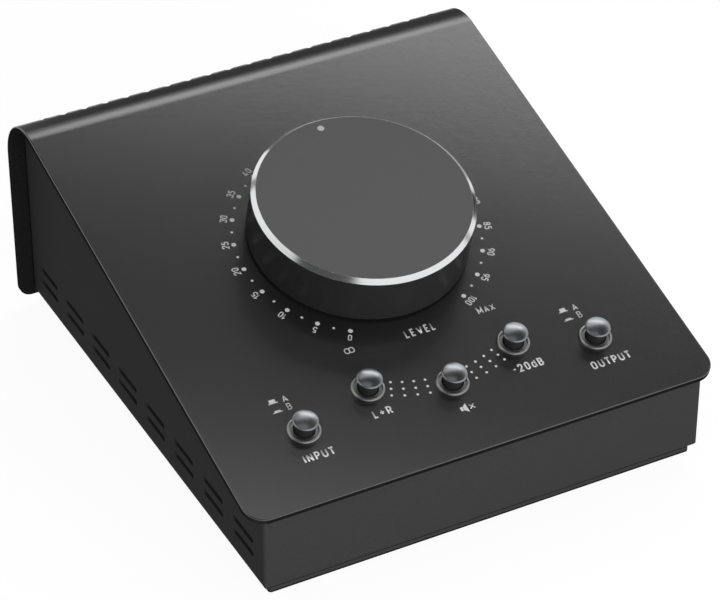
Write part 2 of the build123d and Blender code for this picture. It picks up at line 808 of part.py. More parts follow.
# ---- rear sockets ---------------------------------------------------------------------------
def socket(width, headroom, length, nose_radius, reach, bore, bore_length):
    """A board-mounted socket: housing behind the flap, nose through it, blind bore from its end."""
    tall = headroom + jack_axis_rise
    front = -cover_sheet - seat_gap
    housing = Pos(0, (headroom - jack_axis_rise) / 2, 0) * slab(width, tall, front - length, front)
    body = housing + upright(nose_radius, front - 1, reach)
    body -= upright(bore, reach - bore_length, reach + 1)
    mouth = Pos(0, 0, reach - socket_mouth / 2) * Cone(bore, bore + socket_mouth, socket_mouth)
    return body - mouth


def make_jack():
    """Socket for a 6.35 mm plug."""
    return socket(
        jack_width, jack_headroom, jack_length, jack_nose_radius, jack_reach, jack_bore, jack_bore_length
    )


def make_mini_jack():
    """Socket for a 3.5 mm plug."""
    return socket(
        mini_width, mini_headroom, mini_length, mini_nose_radius, mini_reach, mini_bore, mini_bore_length
    )


def make_jack_nuts():
    """Hexagon nuts on the sockets' noses."""
    low = jack_washer_thickness
    nut = Rot(0, 0, hexagon_turn) * hexagon(jack_nut_flats, low, low + jack_nut_thickness)
    nut -= upright(jack_nose_radius + nut_fit, 0, high)
    small = hexagon(mini_nut_flats, 0, mini_nut_thickness) - upright(mini_nose_radius + nut_fit, -1, high)
    nuts = [on_rear(nut, x, jack_axis_z) for _, x in jack_places()]
    return group(nuts + [on_rear(small, 0, jack_axis_z)])


def make_jack_washers():
    """Flat washers under the large nuts."""
    washer = tube(jack_washer_radius, jack_nose_radius + nut_fit, 0, jack_washer_thickness)
    return group([on_rear(washer, x, jack_axis_z) for _, x in jack_places()])


# ---- assembly -------------------------------------------------------------------------------
def make_nodes():
    """Every piece by name."""
    nodes = {
        "top_cover": make_top_cover(),
        "chassis_tray": make_chassis_tray(),
        "base_plate": make_base_plate(),
        "rubber_feet": make_feet(),
        "cover_posts": make_cover_posts(),
        "base_screws": make_base_screws(),
        "flap_screws": make_flap_screws(),
        "control_board": make_control_board(),
        "control_board_posts": make_board_posts(),
        "board_screws": make_board_screws(),
        "connector_board": make_jack_board(),
        "connector_board_spacers": make_jack_spacers(),
        "ribbon_headers": make_headers(),
        "ribbon_cable": make_ribbon(),
        "jack_nuts": make_jack_nuts(),
        "jack_washers": make_jack_washers(),
        "mini_jack": on_rear(make_mini_jack(), 0, jack_axis_z),
    }
    jack = make_jack()
    for name, x in jack_places():
        nodes[name] = on_rear(jack, x, jack_axis_z)
    turning = {
        "knob_body": make_knob_body(),
        "knob_trim_ring": make_trim_ring(),
        "knob_top_disc": make_top_disc(),
        "knob_pointer": make_pointer(),
        "knob_shaft_insert": make_shaft_insert(),
        "pot_shaft": make_pot_shaft(),
        "pot_wipers": make_wipers(),
        "pot_bushing": make_pot_bushing(),
        "pot_front_gang": make_front_gang(),
        "pot_rear_gang": make_rear_gang(),
        "pot_washer": make_pot_washer(),
        "pot_nut": make_pot_nut(),
    }
    for name, shape in turning.items():
        nodes[name] = on_panel(shape)
    button = {
        "cap": make_cap(),
        "stem": make_stem(),
        "collar": make_collar(),
        "switch": make_switch(),
        "spring": make_spring(),
    }
    for name, across, up in button_places():
        for piece, shape in button.items():
            nodes[f"{name}_{piece}"] = on_panel(shape, across, up)
    return nodes


os.makedirs("parts", exist_ok=True)
for node_name, node_shape in make_nodes().items():
    export_step(node_shape, f"parts/{node_name}.step")
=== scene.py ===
"""Studio monitor controller: the finished look of every piece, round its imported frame.

The classes hold their sizes in millimetres, as a drawing does. Blender works in metres, so each
finished mesh is scaled once, when it is put in its place.
"""

import json
import logging
import math
from dataclasses import dataclass, field
from enum import Enum
from typing import Any, Iterable, Optional, Sequence

import bmesh
import bpy
from bmesh.types import BMEdge, BMesh
from bpy.types import Material, Mesh, NodeSocket, NodeTree, Object
from mathutils import Matrix, Vector

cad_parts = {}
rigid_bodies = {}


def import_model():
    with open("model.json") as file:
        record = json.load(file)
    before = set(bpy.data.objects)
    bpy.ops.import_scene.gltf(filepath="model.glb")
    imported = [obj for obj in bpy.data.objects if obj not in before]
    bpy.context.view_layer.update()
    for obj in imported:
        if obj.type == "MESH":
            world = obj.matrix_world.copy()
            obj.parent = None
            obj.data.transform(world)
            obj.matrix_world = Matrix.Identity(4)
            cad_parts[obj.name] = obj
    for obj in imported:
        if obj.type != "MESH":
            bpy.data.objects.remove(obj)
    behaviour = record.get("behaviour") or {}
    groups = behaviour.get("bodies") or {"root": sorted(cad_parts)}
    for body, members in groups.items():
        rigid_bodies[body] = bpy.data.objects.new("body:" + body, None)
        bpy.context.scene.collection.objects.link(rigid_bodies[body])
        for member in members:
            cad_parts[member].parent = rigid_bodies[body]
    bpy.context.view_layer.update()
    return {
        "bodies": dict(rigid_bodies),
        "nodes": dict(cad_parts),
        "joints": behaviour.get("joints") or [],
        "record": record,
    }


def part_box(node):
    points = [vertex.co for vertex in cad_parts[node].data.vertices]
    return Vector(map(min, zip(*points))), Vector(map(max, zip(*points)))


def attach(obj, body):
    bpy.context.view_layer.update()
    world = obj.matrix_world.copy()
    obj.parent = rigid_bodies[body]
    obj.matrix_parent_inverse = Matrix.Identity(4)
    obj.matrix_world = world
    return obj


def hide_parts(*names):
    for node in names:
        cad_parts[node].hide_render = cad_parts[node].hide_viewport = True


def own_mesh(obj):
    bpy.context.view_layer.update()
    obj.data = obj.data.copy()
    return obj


log = logging.getLogger("monitor_controller")

MM = 0.001
WHOLE_TURN = 2 * math.pi
MERGE = 1e-4  # vertices nearer than this, in mm, are one
WAVES = 20  # ridges of a wave pattern in a unit of its coordinates

Corner = tuple[float, ...]  # (x, y) or (x, y, radius of the rounding)
Span = tuple[float, float]


# ---- small tools ----
def linear(colour: str) -> tuple[float, float, float, float]:
    """Turns an sRGB hex colour to linear light.

    Args:
        colour: Six hex digits after a "#".

    Returns:
        Red, green, blue and an alpha of 1.
    """
    parts = [int(colour[i : i + 2], 16) / 255 for i in (1, 3, 5)]
    light = [p / 12.92 if p <= 0.04045 else ((p + 0.055) / 1.055) ** 2.4 for p in parts]
    return (light[0], light[1], light[2], 1.0)


def rounded(corners: Sequence[Corner], closed: bool = True, step: float = 10.0) -> list[Vector]:
    """Rounds the corners of an outline or a path.

    Args:
        corners: The corners in order, each with the radius of its rounding where it has one.
        closed: Whether the last corner runs back to the first.
        step: Largest turn between two points of an arc, in degrees.

    Returns:
        The points of the rounded line, in the XY plane.
    """
    count = len(corners)
    points: list[Vector] = []
    for i, corner in enumerate(corners):
        here = Vector(corner[:2])
        radius = corner[2] if len(corner) > 2 else 0.0
        is_end = not closed and i in (0, count - 1)
        if radius <= 0 or is_end:
            points.append(here)
            continue
        back = (Vector(corners[i - 1][:2]) - here).normalized()
        ahead = (Vector(corners[(i + 1) % count][:2]) - here).normalized()
        half = back.angle(ahead) / 2
        centre = here + (back + ahead).normalized() * radius / math.sin(half)
        start = here + back * radius / math.tan(half) - centre
        turn = (math.pi - 2 * half) * (1 if back.cross(ahead) < 0 else -1)
        steps = max(1, math.ceil(abs(math.degrees(turn)) / step))
        points += [centre + Matrix.Rotation(turn * k / steps, 2) @ start for k in range(steps + 1)]
    return [p for k, p in enumerate(points) if (p - points[k - 1]).length > MERGE or k == 0]


def rectangle(
    width: float, height: float, radius: float, x: float = 0, y: float = 0
) -> list[Corner]:
    """Corners of a rounded rectangle about (x, y); a radius of half its side makes it a circle."""
    w, h = width / 2, height / 2
    return [(x + i * w, y + j * h, radius) for i, j in ((-1, -1), (1, -1), (1, 1), (-1, 1))]


def settled(bm: BMesh, name: str) -> Mesh:
    """Writes a bmesh to a new mesh and frees it.

    Args:
        bm: The finished bmesh.
        name: The mesh's name.

    Returns:
        The mesh.
    """
    mesh = bpy.data.meshes.new(name)
    bm.to_mesh(mesh)
    bm.free()
    return mesh


def merged(meshes: Iterable[Mesh]) -> BMesh:
    """Puts several meshes in one bmesh and removes them.

    Args:
        meshes: The meshes, each in its place.

    Returns:
        The bmesh.
    """
    whole = bmesh.new()
    for mesh in meshes:
        whole.from_mesh(mesh)
        bpy.data.meshes.remove(mesh)
    return whole


def placed(name: str, data: bpy.types.ID) -> Object:
    """Puts new data in the scene as an object.

    Args:
        name: The object's name.
        data: Its mesh, lamp or camera.

    Returns:
        The object, at the origin.
    """
    thing = bpy.data.objects.new(name, data)
    bpy.context.scene.collection.objects.link(thing)
    return thing


def curve_mesh(paths: Iterable[Sequence[Vector]], closed: bool, **settings: Any) -> Mesh:
    """Makes a mesh from flat curves.

    Args:
        paths: The points of each spline, in the XY plane.
        closed: Whether the splines close on themselves.
        settings: Properties of the curve, such as extrude and bevel_depth.

    Returns:
        The mesh, with its doubles merged.
    """
    curve = bpy.data.curves.new("outline", "CURVE")
    curve.dimensions = "2D"
    for name, value in settings.items():
        setattr(curve, name, value)
    for path in paths:
        spline = curve.splines.new("POLY")
        spline.points.add(len(path) - 1)
        for point, place in zip(spline.points, path):
            point.co = (place.x, place.y, 0.0, 1.0)
        spline.use_cyclic_u = closed
    holder = bpy.data.objects.new("outline", curve)
    mesh = bpy.data.meshes.new_from_object(holder)
    bpy.data.objects.remove(holder)
    bpy.data.curves.remove(curve)
    bm = merged([mesh])
    bmesh.ops.remove_doubles(bm, verts=bm.verts, dist=MERGE)
    return settled(bm, "outline")


def turned(profile: Sequence[Corner], steps: int) -> BMesh:
    """Spins an outline about Z, as on a lathe.

    Args:
        profile: Corners of half the section, as (radius, height) or (radius, height, rounding). It
            starts and ends on the axis, or it is a closed ring clear of it.
        steps: Faces round the axis.

    Returns:
        A closed mesh with its faces outwards.
    """
    is_ring = profile[0][0] > 0 or profile[-1][0] > 0
    line = rounded(profile, closed=is_ring, step=22.5)
    bm = bmesh.new()
    verts = [bm.verts.new((p.x, 0.0, p.y)) for p in line]
    ends = verts[1:] + verts[:1] if is_ring else verts[1:]
    edges = [bm.edges.new(pair) for pair in zip(verts, ends)]
    bmesh.ops.spin(
        bm,
        geom=verts + edges,
        cent=(0, 0, 0),
        axis=(0, 0, 1),
        angle=WHOLE_TURN,
        steps=steps,
        use_merge=True,
        use_duplicate=False,
    )
    bmesh.ops.remove_doubles(bm, verts=bm.verts, dist=MERGE)
    bmesh.ops.recalc_face_normals(bm, faces=bm.faces)
    return bm


def add_node(
    tree: NodeTree,
    kind: str,
    sockets: Optional[dict[Any, Any]] = None,
    **settings: Any,
) -> bpy.types.Node:
    """Adds a node to a tree.

    Args:
        tree: The node tree.
        kind: The node's type, such as "ShaderNodeBump".
        sockets: Values of its inputs by name or number; an output of another node is linked.
        settings: The node's own properties.

    Returns:
        The new node.
    """
    node = tree.nodes.new(kind)
    for name, value in settings.items():
        setattr(node, name, value)
    for name, value in (sockets or {}).items():
        if isinstance(value, NodeSocket):
            tree.links.new(value, node.inputs[name])
        else:
            node.inputs[name].default_value = value
    return node


def per_metre(size: float) -> float:
    """Scale of a noise or wave whose features are that many millimetres wide."""
    return 1 / (size * MM)


def maths(tree: NodeTree, operation: str, *values: Any) -> NodeSocket:
    """Result of a math node."""
    return add_node(tree, "ShaderNodeMath", dict(enumerate(values)), operation=operation).outputs[0]


def remapped(
    tree: NodeTree, value: Any, to: Span, given: Span = (0.0, 1.0), **settings: Any
) -> NodeSocket:
    """A value carried over from one span to another."""
    ends = {"From Min": given[0], "From Max": given[1], "To Min": to[0], "To Max": to[1]}
    return add_node(tree, "ShaderNodeMapRange", {"Value": value, **ends}, **settings).outputs[0]


# ---- places ----
class Body(Enum):
    """Bodies of the frame that pieces ride on."""

    CASE = "case"
    KNOB = "knob"


@dataclass(frozen=True)
class Drawing:
    """Where things are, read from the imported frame; lengths in millimetres."""

    axis_point: Vector  # knob's axis on the panel's outside
    normal: Vector  # out of the panel
    cover_low: Vector
    cover_high: Vector
    record: dict[str, Any]

    @classmethod
    def read(cls, frame: dict[str, Any]) -> "Drawing":
        """Takes the panel's place from the knob's joint and the cover's box.

        Args:
            frame: The loaded frame.

        Returns:
            The drawing.
        """
        joint = next(j for j in frame["joints"] if j["name"] == "knob_turn")
        low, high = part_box("top_cover")
        normal = Vector(joint["axis"]).normalized()
        return cls(Vector(joint["pos_m"]) / MM, normal, low / MM, high / MM, frame["record"])

    @property
    def slope(self) -> float:
        """Panel's slope in radians."""
        return math.atan2(-self.normal.y, self.normal.z)

    def on_panel(self, across: float = 0.0, up: float = 0.0, out: float = 0.0) -> Matrix:
        """Place on the panel, counted from the knob's axis."""
        turn = Matrix.Rotation(self.slope, 4, "X")
        return Matrix.Translation(self.axis_point) @ turn @ Matrix.Translation((across, up, out))

    def on_flap(self, x: float, z: float) -> Matrix:
        """Place on the rear flap's outside, its own Z pointing backwards."""
        turn = Matrix.Rotation(-math.pi / 2, 4, "X")
        return Matrix.Translation((x, self.cover_high.y, z)) @ turn

    def panel_place(self, node: str) -> tuple[float, float]:
        """Finds the middle of a node on the panel.

        Args:
            node: The node's name.

        Returns:
            How far it lies across the panel and up it from the knob's axis.
        """
        low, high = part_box(node)
        middle = self.on_panel().inverted() @ ((low + high) / 2 / MM)
        return (middle.x, middle.y)

    def socket_places(self) -> dict[str, tuple[float, float]]:
        """Each rear socket's (x, z), from the record's mounts."""
        mounts = [m for m in self.record["mounts"] if m["name"].endswith("_socket")]
        return {m["name"][:-7]: (m["pos_m"][0] / MM, m["pos_m"][2] / MM) for m in mounts}


# ---- finishes ----
class Shading:
    """A material's nodes: its shader, and the patterns that several finishes use."""

    def __init__(self, material: Material) -> None:
        """Takes the tree of a new material.

        Args:
            material: The material, with its nodes switched on.
        """
        self.tree = material.node_tree
        self.shader = self.tree.nodes["Principled BSDF"]
        self.coords = add_node(self.tree, "ShaderNodeTexCoord").outputs["Object"]

    def feed(self, name: str, source: NodeSocket) -> None:
        """Links a pattern to one of the shader's sockets."""
        self.tree.links.new(source, self.shader.inputs[name])

    def noise(self, size: float, detail: float, roughness: float = 0.5) -> NodeSocket:
        """Makes a noise pattern.

        Args:
            size: Width of its features, in mm.
            detail: How many finer layers lie over them.
            roughness: How strong the finer layers are.

        Returns:
            The noise, from 0 to 1.
        """
        look = {"Scale": per_metre(size), "Detail": detail, "Roughness": roughness}
        look["Vector"] = self.coords
        return add_node(self.tree, "ShaderNodeTexNoise", look).outputs["Fac"]

    def blend(self, share: NodeSocket, *stops: tuple[float, Sequence[float]]) -> None:
        """Runs the base colour between two stops.

        Args:
            share: The pattern that picks the colour.
            stops: Each a position and a linear colour.
        """
        ramp = add_node(self.tree, "ShaderNodeValToRGB", {"Fac": share})
        for element, (position, colour) in zip(ramp.color_ramp.elements, stops):
            element.position = position
            element.color = colour
        self.feed("Base Color", ramp.outputs["Color"])

    def vary_gloss(
        self, share: NodeSocket, middle: float, uneven: float, given: Span = (0.0, 1.0)
    ) -> None:
        """Lets the roughness stray from its middle by a share of itself."""
        span = (middle * (1 - uneven), middle * (1 + uneven))
        self.feed("Roughness", remapped(self.tree, share, span, given))

    def bump(self, height: NodeSocket, depth: float) -> None:
        """Raises a pattern, on top of the bump that is there already.

        Args:
            height: The pattern.
            depth: Its height, in mm.
        """
        look = {"Height": height, "Distance": depth * MM, "Strength": 1.0}
        node = add_node(self.tree, "ShaderNodeBump", look)
        for under in self.shader.inputs["Normal"].links[:1]:
            self.tree.links.new(under.from_socket, node.inputs["Normal"])
        self.feed("Normal", node.outputs["Normal"])


@dataclass(frozen=True)
class Finish:
    """A material: what it is made of and how its surface was made."""

    name: str
    colour: str
    roughness: float
    metallic: float = 0.0
    specular: float = 0.5
    ior: float = 1.5

    def material(self) -> Material:
        """Builds the material, or finds it when it is there already.

        Returns:
            The material.
        """
        made = bpy.data.materials.get(self.name)
        if made:
            return made
        made = bpy.data.materials.new(self.name)
        made.use_nodes = True
        made.diffuse_color = linear(self.colour)
        shading = Shading(made)
        constants = {
            "Base Color": linear(self.colour),
            "Roughness": self.roughness,
            "Metallic": self.metallic,
        }
        if not self.metallic:
            constants |= {"Specular IOR Level": self.specular, "IOR": self.ior}
        for name, value in constants.items():
            shading.shader.inputs[name].default_value = value
        self.dress(shading)
        return made

    def dress(self, shading: Shading) -> None:
        """Adds what the surface shows beyond its plain colour."""
        self.grain(shading, size=0.4, depth=0.004, spread=0.12)

    def grain(self, shading: Shading, size: float, depth: float, spread: float) -> None:
        """Fine uneven grain that breaks up the gloss and the colour.

        Args:
            shading: The material's nodes.
            size: Width of a grain, in mm.
            depth: Height of a grain, in mm.
            spread: How far the colour strays, as a share of itself.
        """
        noise = shading.noise(size, detail=3.0, roughness=0.55)
        base = linear(self.colour)[:3]
        dark, light = ([c * (1 + s) for c in base] + [1.0] for s in (-spread, spread))
        shading.blend(noise, (0.3, dark), (0.7, light))
        shading.bump(noise, depth)


@dataclass(frozen=True)
class PowderCoat(Finish):
    """Baked polyester powder: an even satin skin with a fine grain over a soft orange peel."""

    grain_size: float = 0.35
    grain_depth: float = 0.011
    peel_size: float = 1.6
    peel_depth: float = 0.01
    spread: float = 0.3

    def dress(self, shading: Shading) -> None:
        """The slow waves of the melted powder, and the grain of its skin."""
        shading.bump(shading.noise(self.peel_size, detail=1.0), self.peel_depth)
        self.grain(shading, self.grain_size, self.grain_depth, self.spread)


@dataclass(frozen=True)
class PowderCoatWithPaintedShade(PowderCoat):
    """Powder coat with painted shade along its lowest arris: dark below a height."""

    # colour of the painted shade along the lowest arris
    painted_shade_colour: str = "#151515"
    painted_shade_height: float = 3.45  # over the floor, in mm
    painted_shade_edge: float = 0.05  # half the width of the step from the painted shade to the powder

    def dress(self, shading: Shading) -> None:
        """Shows painted shade below a height over the floor, and the powder above it.

        Args:
            shading: The material's nodes.
        """
        super().dress(shading)
        powder = shading.shader.inputs["Base Color"].links[0].from_socket
        parts = add_node(shading.tree, "ShaderNodeSeparateXYZ", {"Vector": shading.coords})
        edge = ((self.painted_shade_height - self.painted_shade_edge) * MM, (self.painted_shade_height + self.painted_shade_edge) * MM)
        share = remapped(shading.tree, parts.outputs["Z"], (0.0, 1.0), edge)
        mixed = add_node(
            shading.tree,
            "ShaderNodeMix",
            {0: share, 6: linear(self.painted_shade_colour), 7: powder},  # 6 and 7 are its two colours
            data_type="RGBA",
        )
        shading.feed("Base Color", mixed.outputs[2])  # 2 is the mixed colour


@dataclass(frozen=True)
class Turned(Finish):
    """A face cut or polished on a lathe: fine rings round its axis."""

    place: Matrix = field(default_factory=Matrix)
    ring_width: float = 0.12
    ring_depth: float = 0.0006

    def dress(self, shading: Shading) -> None:
        """Rings in the gloss, drawn round the piece's own axis.

        Args:
            shading: The material's nodes.
        """
        inward = self.place.inverted()
        shift = {"Location": inward.to_translation() * MM, "Rotation": inward.to_euler()}
        mapped = add_node(shading.tree, "ShaderNodeMapping", {"Vector": shading.coords, **shift})
        look = {"Scale": per_metre(self.ring_width) / WAVES, "Distortion": 0.6, "Detail": 1.0}
        wave = add_node(
            shading.tree,
            "ShaderNodeTexWave",
            {"Vector": mapped.outputs["Vector"], **look},
            wave_type="RINGS",
            rings_direction="Z",
        ).outputs["Fac"]
        shading.vary_gloss(wave, self.roughness, uneven=0.15)
        shading.bump(wave, self.ring_depth)


@dataclass(frozen=True)
class Smudged(Finish):
    """A smooth plated or moulded skin whose gloss is a little uneven."""

    patch: float = 6.0
    uneven: float = 0.25

    def dress(self, shading: Shading) -> None:
        """Broad faint patches in the gloss, as handling leaves them."""
        noise = shading.noise(self.patch, detail=4.0, roughness=0.6)
        shading.vary_gloss(noise, self.roughness, self.uneven, given=(0.3, 0.7))


@dataclass(frozen=True)
class Laminate(Finish):
    """Printed circuit board: solder resist over copper tracks that show as a lighter grid."""

    track: str = "#1f5a35"
    track_pitch: float = 2.54

    def dress(self, shading: Shading) -> None:
        """Tracks as the edges of a coarse cell pattern under the green resist.

        Args:
            shading: The material's nodes.
        """
        cells = add_node(
            shading.tree,
            "ShaderNodeTexVoronoi",
            {"Vector": shading.coords, "Scale": per_metre(self.track_pitch), "Randomness": 0.55},
            feature="DISTANCE_TO_EDGE",
            distance="EUCLIDEAN",
        )
        stops = ((0.06, linear(self.track)), (0.1, linear(self.colour)))
        shading.blend(cells.outputs["Distance"], *stops)


@dataclass(frozen=True)
class FlatCable(Finish):
    """Ribbon cable: ribbed PVC, one rib to a core."""

    core_pitch: float = 1.27
    # colour of the painted shade in the grooves between the ribs
    groove: str = "#4a4a4c"
    groove_depth: float = 0.2

    def dress(self, shading: Shading) -> None:
        """Ribs across the cable's width, with painted shade in the grooves.

        Args:
            shading: The material's nodes.
        """
        wave = add_node(
            shading.tree,
            "ShaderNodeTexWave",
            {"Vector": shading.coords, "Scale": per_metre(self.core_pitch) / WAVES},
            wave_type="BANDS",
            bands_direction="X",
        ).outputs["Fac"]
        shading.blend(wave, (0.0, linear(self.groove)), (0.4, linear(self.colour)))
        shading.bump(wave, self.groove_depth)


# The powder is thin and dull on the sheet's cut edges and inside the cover.
DULL_PAINT = PowderCoat("black_powder_coat_edges", "#2a2a2a", 0.6, specular=0.0)
# The sheet's front edge: darker than the other cut edges, as painted shade of the gap under the
# cover's front edge.
FRONT_EDGE_SHADE_PAINT = PowderCoat(
    "black_powder_coat_front_edge_painted_shade", "#1e1e1e", 0.6, specular=0.0, spread=0.1
)
# The base plate's edge: the tray's powder, with painted shade along its lowest arris.
BASE_PAINT_AND_SHADE = PowderCoatWithPaintedShade(
    "black_powder_coat_base_and_painted_shade", "#3f3f3f", 0.6, specular=0.01, grain_depth=0.004, spread=0.09
)
# The collar's inner side: rougher than the rim, and darker as painted shade under the cap.
COLLAR_INSIDE_WITH_SHADE = Smudged("dull_nickel_groove_painted_shade", "#888888", 0.5, metallic=1.0, uneven=0.1)
# White enamel let into the knob's face.
POINTER = Finish("white_pointer_enamel", "#cfcfcf", 0.5, specular=0.3)
# Nickel plate: bright on the rear nuts and washers, and on the potentiometer.
NICKEL = Smudged("nickel_plate", "#b5b2aa", 0.22, metallic=1.0)

# The finish of each of the record's material slots.
FINISHES: dict[str, Finish] = {
    # Polyester powder on steel: near black, satin, so the panel takes a soft light from behind.
    "cover_paint": PowderCoat("black_powder_coat", "#1f1f1f", 0.224, specular=1.0, ior=1.6),
    # The same powder on the folded tray, duller where the light doesn't reach.
    "chassis_paint": PowderCoat(
        "black_powder_coat_tray", "#3f3f3f", 0.6, specular=0.01, grain_depth=0.004, spread=0.09
    ),
    # Bead-blasted and dark anodised aluminium: flat and even, with no rings left.
    "knob_face": PowderCoat(
        "grey_blasted_face", "#686868", 0.65, specular=0.15, grain_size=0.25, spread=0.04
    ),
    # Moulded ABS skirt with a satin skin.
    "knob_metal": PowderCoat(
        "black_moulded_skirt", "#292929", 0.35, specular=0.3, grain_depth=0.003
    ),
    # Chromed ABS caps: a soft mirror over a grey base.
    "button_chrome": Smudged("dark_chrome", "#989b9f", 0.3, metallic=1.0, uneven=0.1),
    # Black acetal of the stems under the caps.
    "button_stem": Smudged("black_satin_stem", "#262626", 0.3),
    # The collars' rims: pressed, polished and nickelled.
    "collar_metal": Smudged("satin_nickel_collar", "#a6a6a6", 0.34, metallic=1.0, uneven=0.1),
    # White screen ink, a little rough.
    "pointer_white": Finish("white_screen_ink", "#ececec", 0.6, specular=0.3),
    # Moulded rubber of the feet.
    "rubber": Finish("black_rubber", "#141414", 0.8, specular=0.3),
    "nickel": NICKEL,
    "polished_trim": NICKEL,
    # Zinc on the posts, screws and washers.
    "zinc_steel": Smudged("zinc_plate", "#a9adb0", 0.35, metallic=1.0),
    # Blackened steel of the flap's screws.
    "black_screw": Smudged("blackened_steel", "#1c1c1e", 0.38, metallic=0.6),
    # Bare brass of the knob's insert.
    "brass": Smudged("turned_brass", "#c3a05a", 0.28, metallic=1.0),
    # Moulded nylon of the sockets, noses and all.
    "jack_plastic": Smudged("black_nylon", "#161616", 0.4),
    # Housings of the latching switches.
    "switch_plastic": Smudged("grey_switch_plastic", "#3a3b3e", 0.45),
    # The rear board's spacers and the ribbon's headers.
    "nylon": Smudged("white_nylon", "#cfcdc4", 0.5),
    # Pressed paper laminate of the potentiometer's gangs.
    "phenolic": Finish("brown_phenolic", "#5a3a22", 0.55),
    # Drawn spring wire.
    "spring_steel": Smudged("spring_steel", "#8e8f92", 0.3, metallic=1.0),
    # Solder resist over both boards.
    "circuit_board": Laminate("green_solder_resist", "#12402a", 0.35),
    # The flat cable between the boards.
    "ribbon_pvc": FlatCable("grey_ribbon_pvc", "#a7a8aa", 0.5),
}


# ---- pieces ----
@dataclass(frozen=True)
class Piece:
    """What a new mesh is: its name, body, material slot and the nodes it stands for."""

    name: str
    body: str
    slot: str
    replaced: tuple[str, ...] = ()

    def make(self, mesh: Mesh, place: Matrix, *finishes: Finish) -> Object:
        """Puts a mesh drawn in millimetres in its place and gives it its finish.

        Args:
            mesh: The mesh, in its own coordinates.
            place: Where it lies in the object, in millimetres.
            finishes: Its finishes by the faces' material numbers; its slot's own if none is given.

        Returns:
            The object, at the origin, with its place in its mesh.
        """
        mesh.name = self.name
        mesh.transform(Matrix.Scale(MM, 4) @ place)
        for finish in finishes or (FINISHES[self.slot],):
            mesh.materials.append(finish.material())
        made = placed(self.name, mesh)
        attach(made, self.body)
        if self.replaced:
            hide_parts(*self.replaced)
        log.info("%s: %d faces on %s", self.name, len(mesh.polygons), self.body)
        return made

    def from_bmesh(self, bm: BMesh, place: Matrix, *finishes: Finish) -> Object:
        """Makes the piece from a bmesh, smooth, with normals weighted by its large faces.

        Args:
            bm: The bmesh, in its own coordinates.
            place: Where it lies in the object, in millimetres.
            finishes: As in make.

        Returns:
            The object.
        """
        mesh = settled(bm, self.name)
        mesh.shade_smooth()
        made = self.make(mesh, place, *finishes)
        even = made.modifiers.new("even_normals", "WEIGHTED_NORMAL")
        even.keep_sharp = True
        even.weight = 100
        return made


def dress_nodes(frame: dict[str, Any]) -> None:
    """Gives each CAD node the finish of its record's slot.

    Args:
        frame: The loaded frame.
    """
    for part in frame["record"]["subparts"]:
        node = frame["nodes"][part["node"]]
        # The base plate's finish has painted shade along its lowest arris.
        finish = BASE_PAINT_AND_SHADE if part["node"] == "base_plate" else FINISHES[part["material_slot"]]
        node.data.materials.clear()
        node.data.materials.append(finish.material())


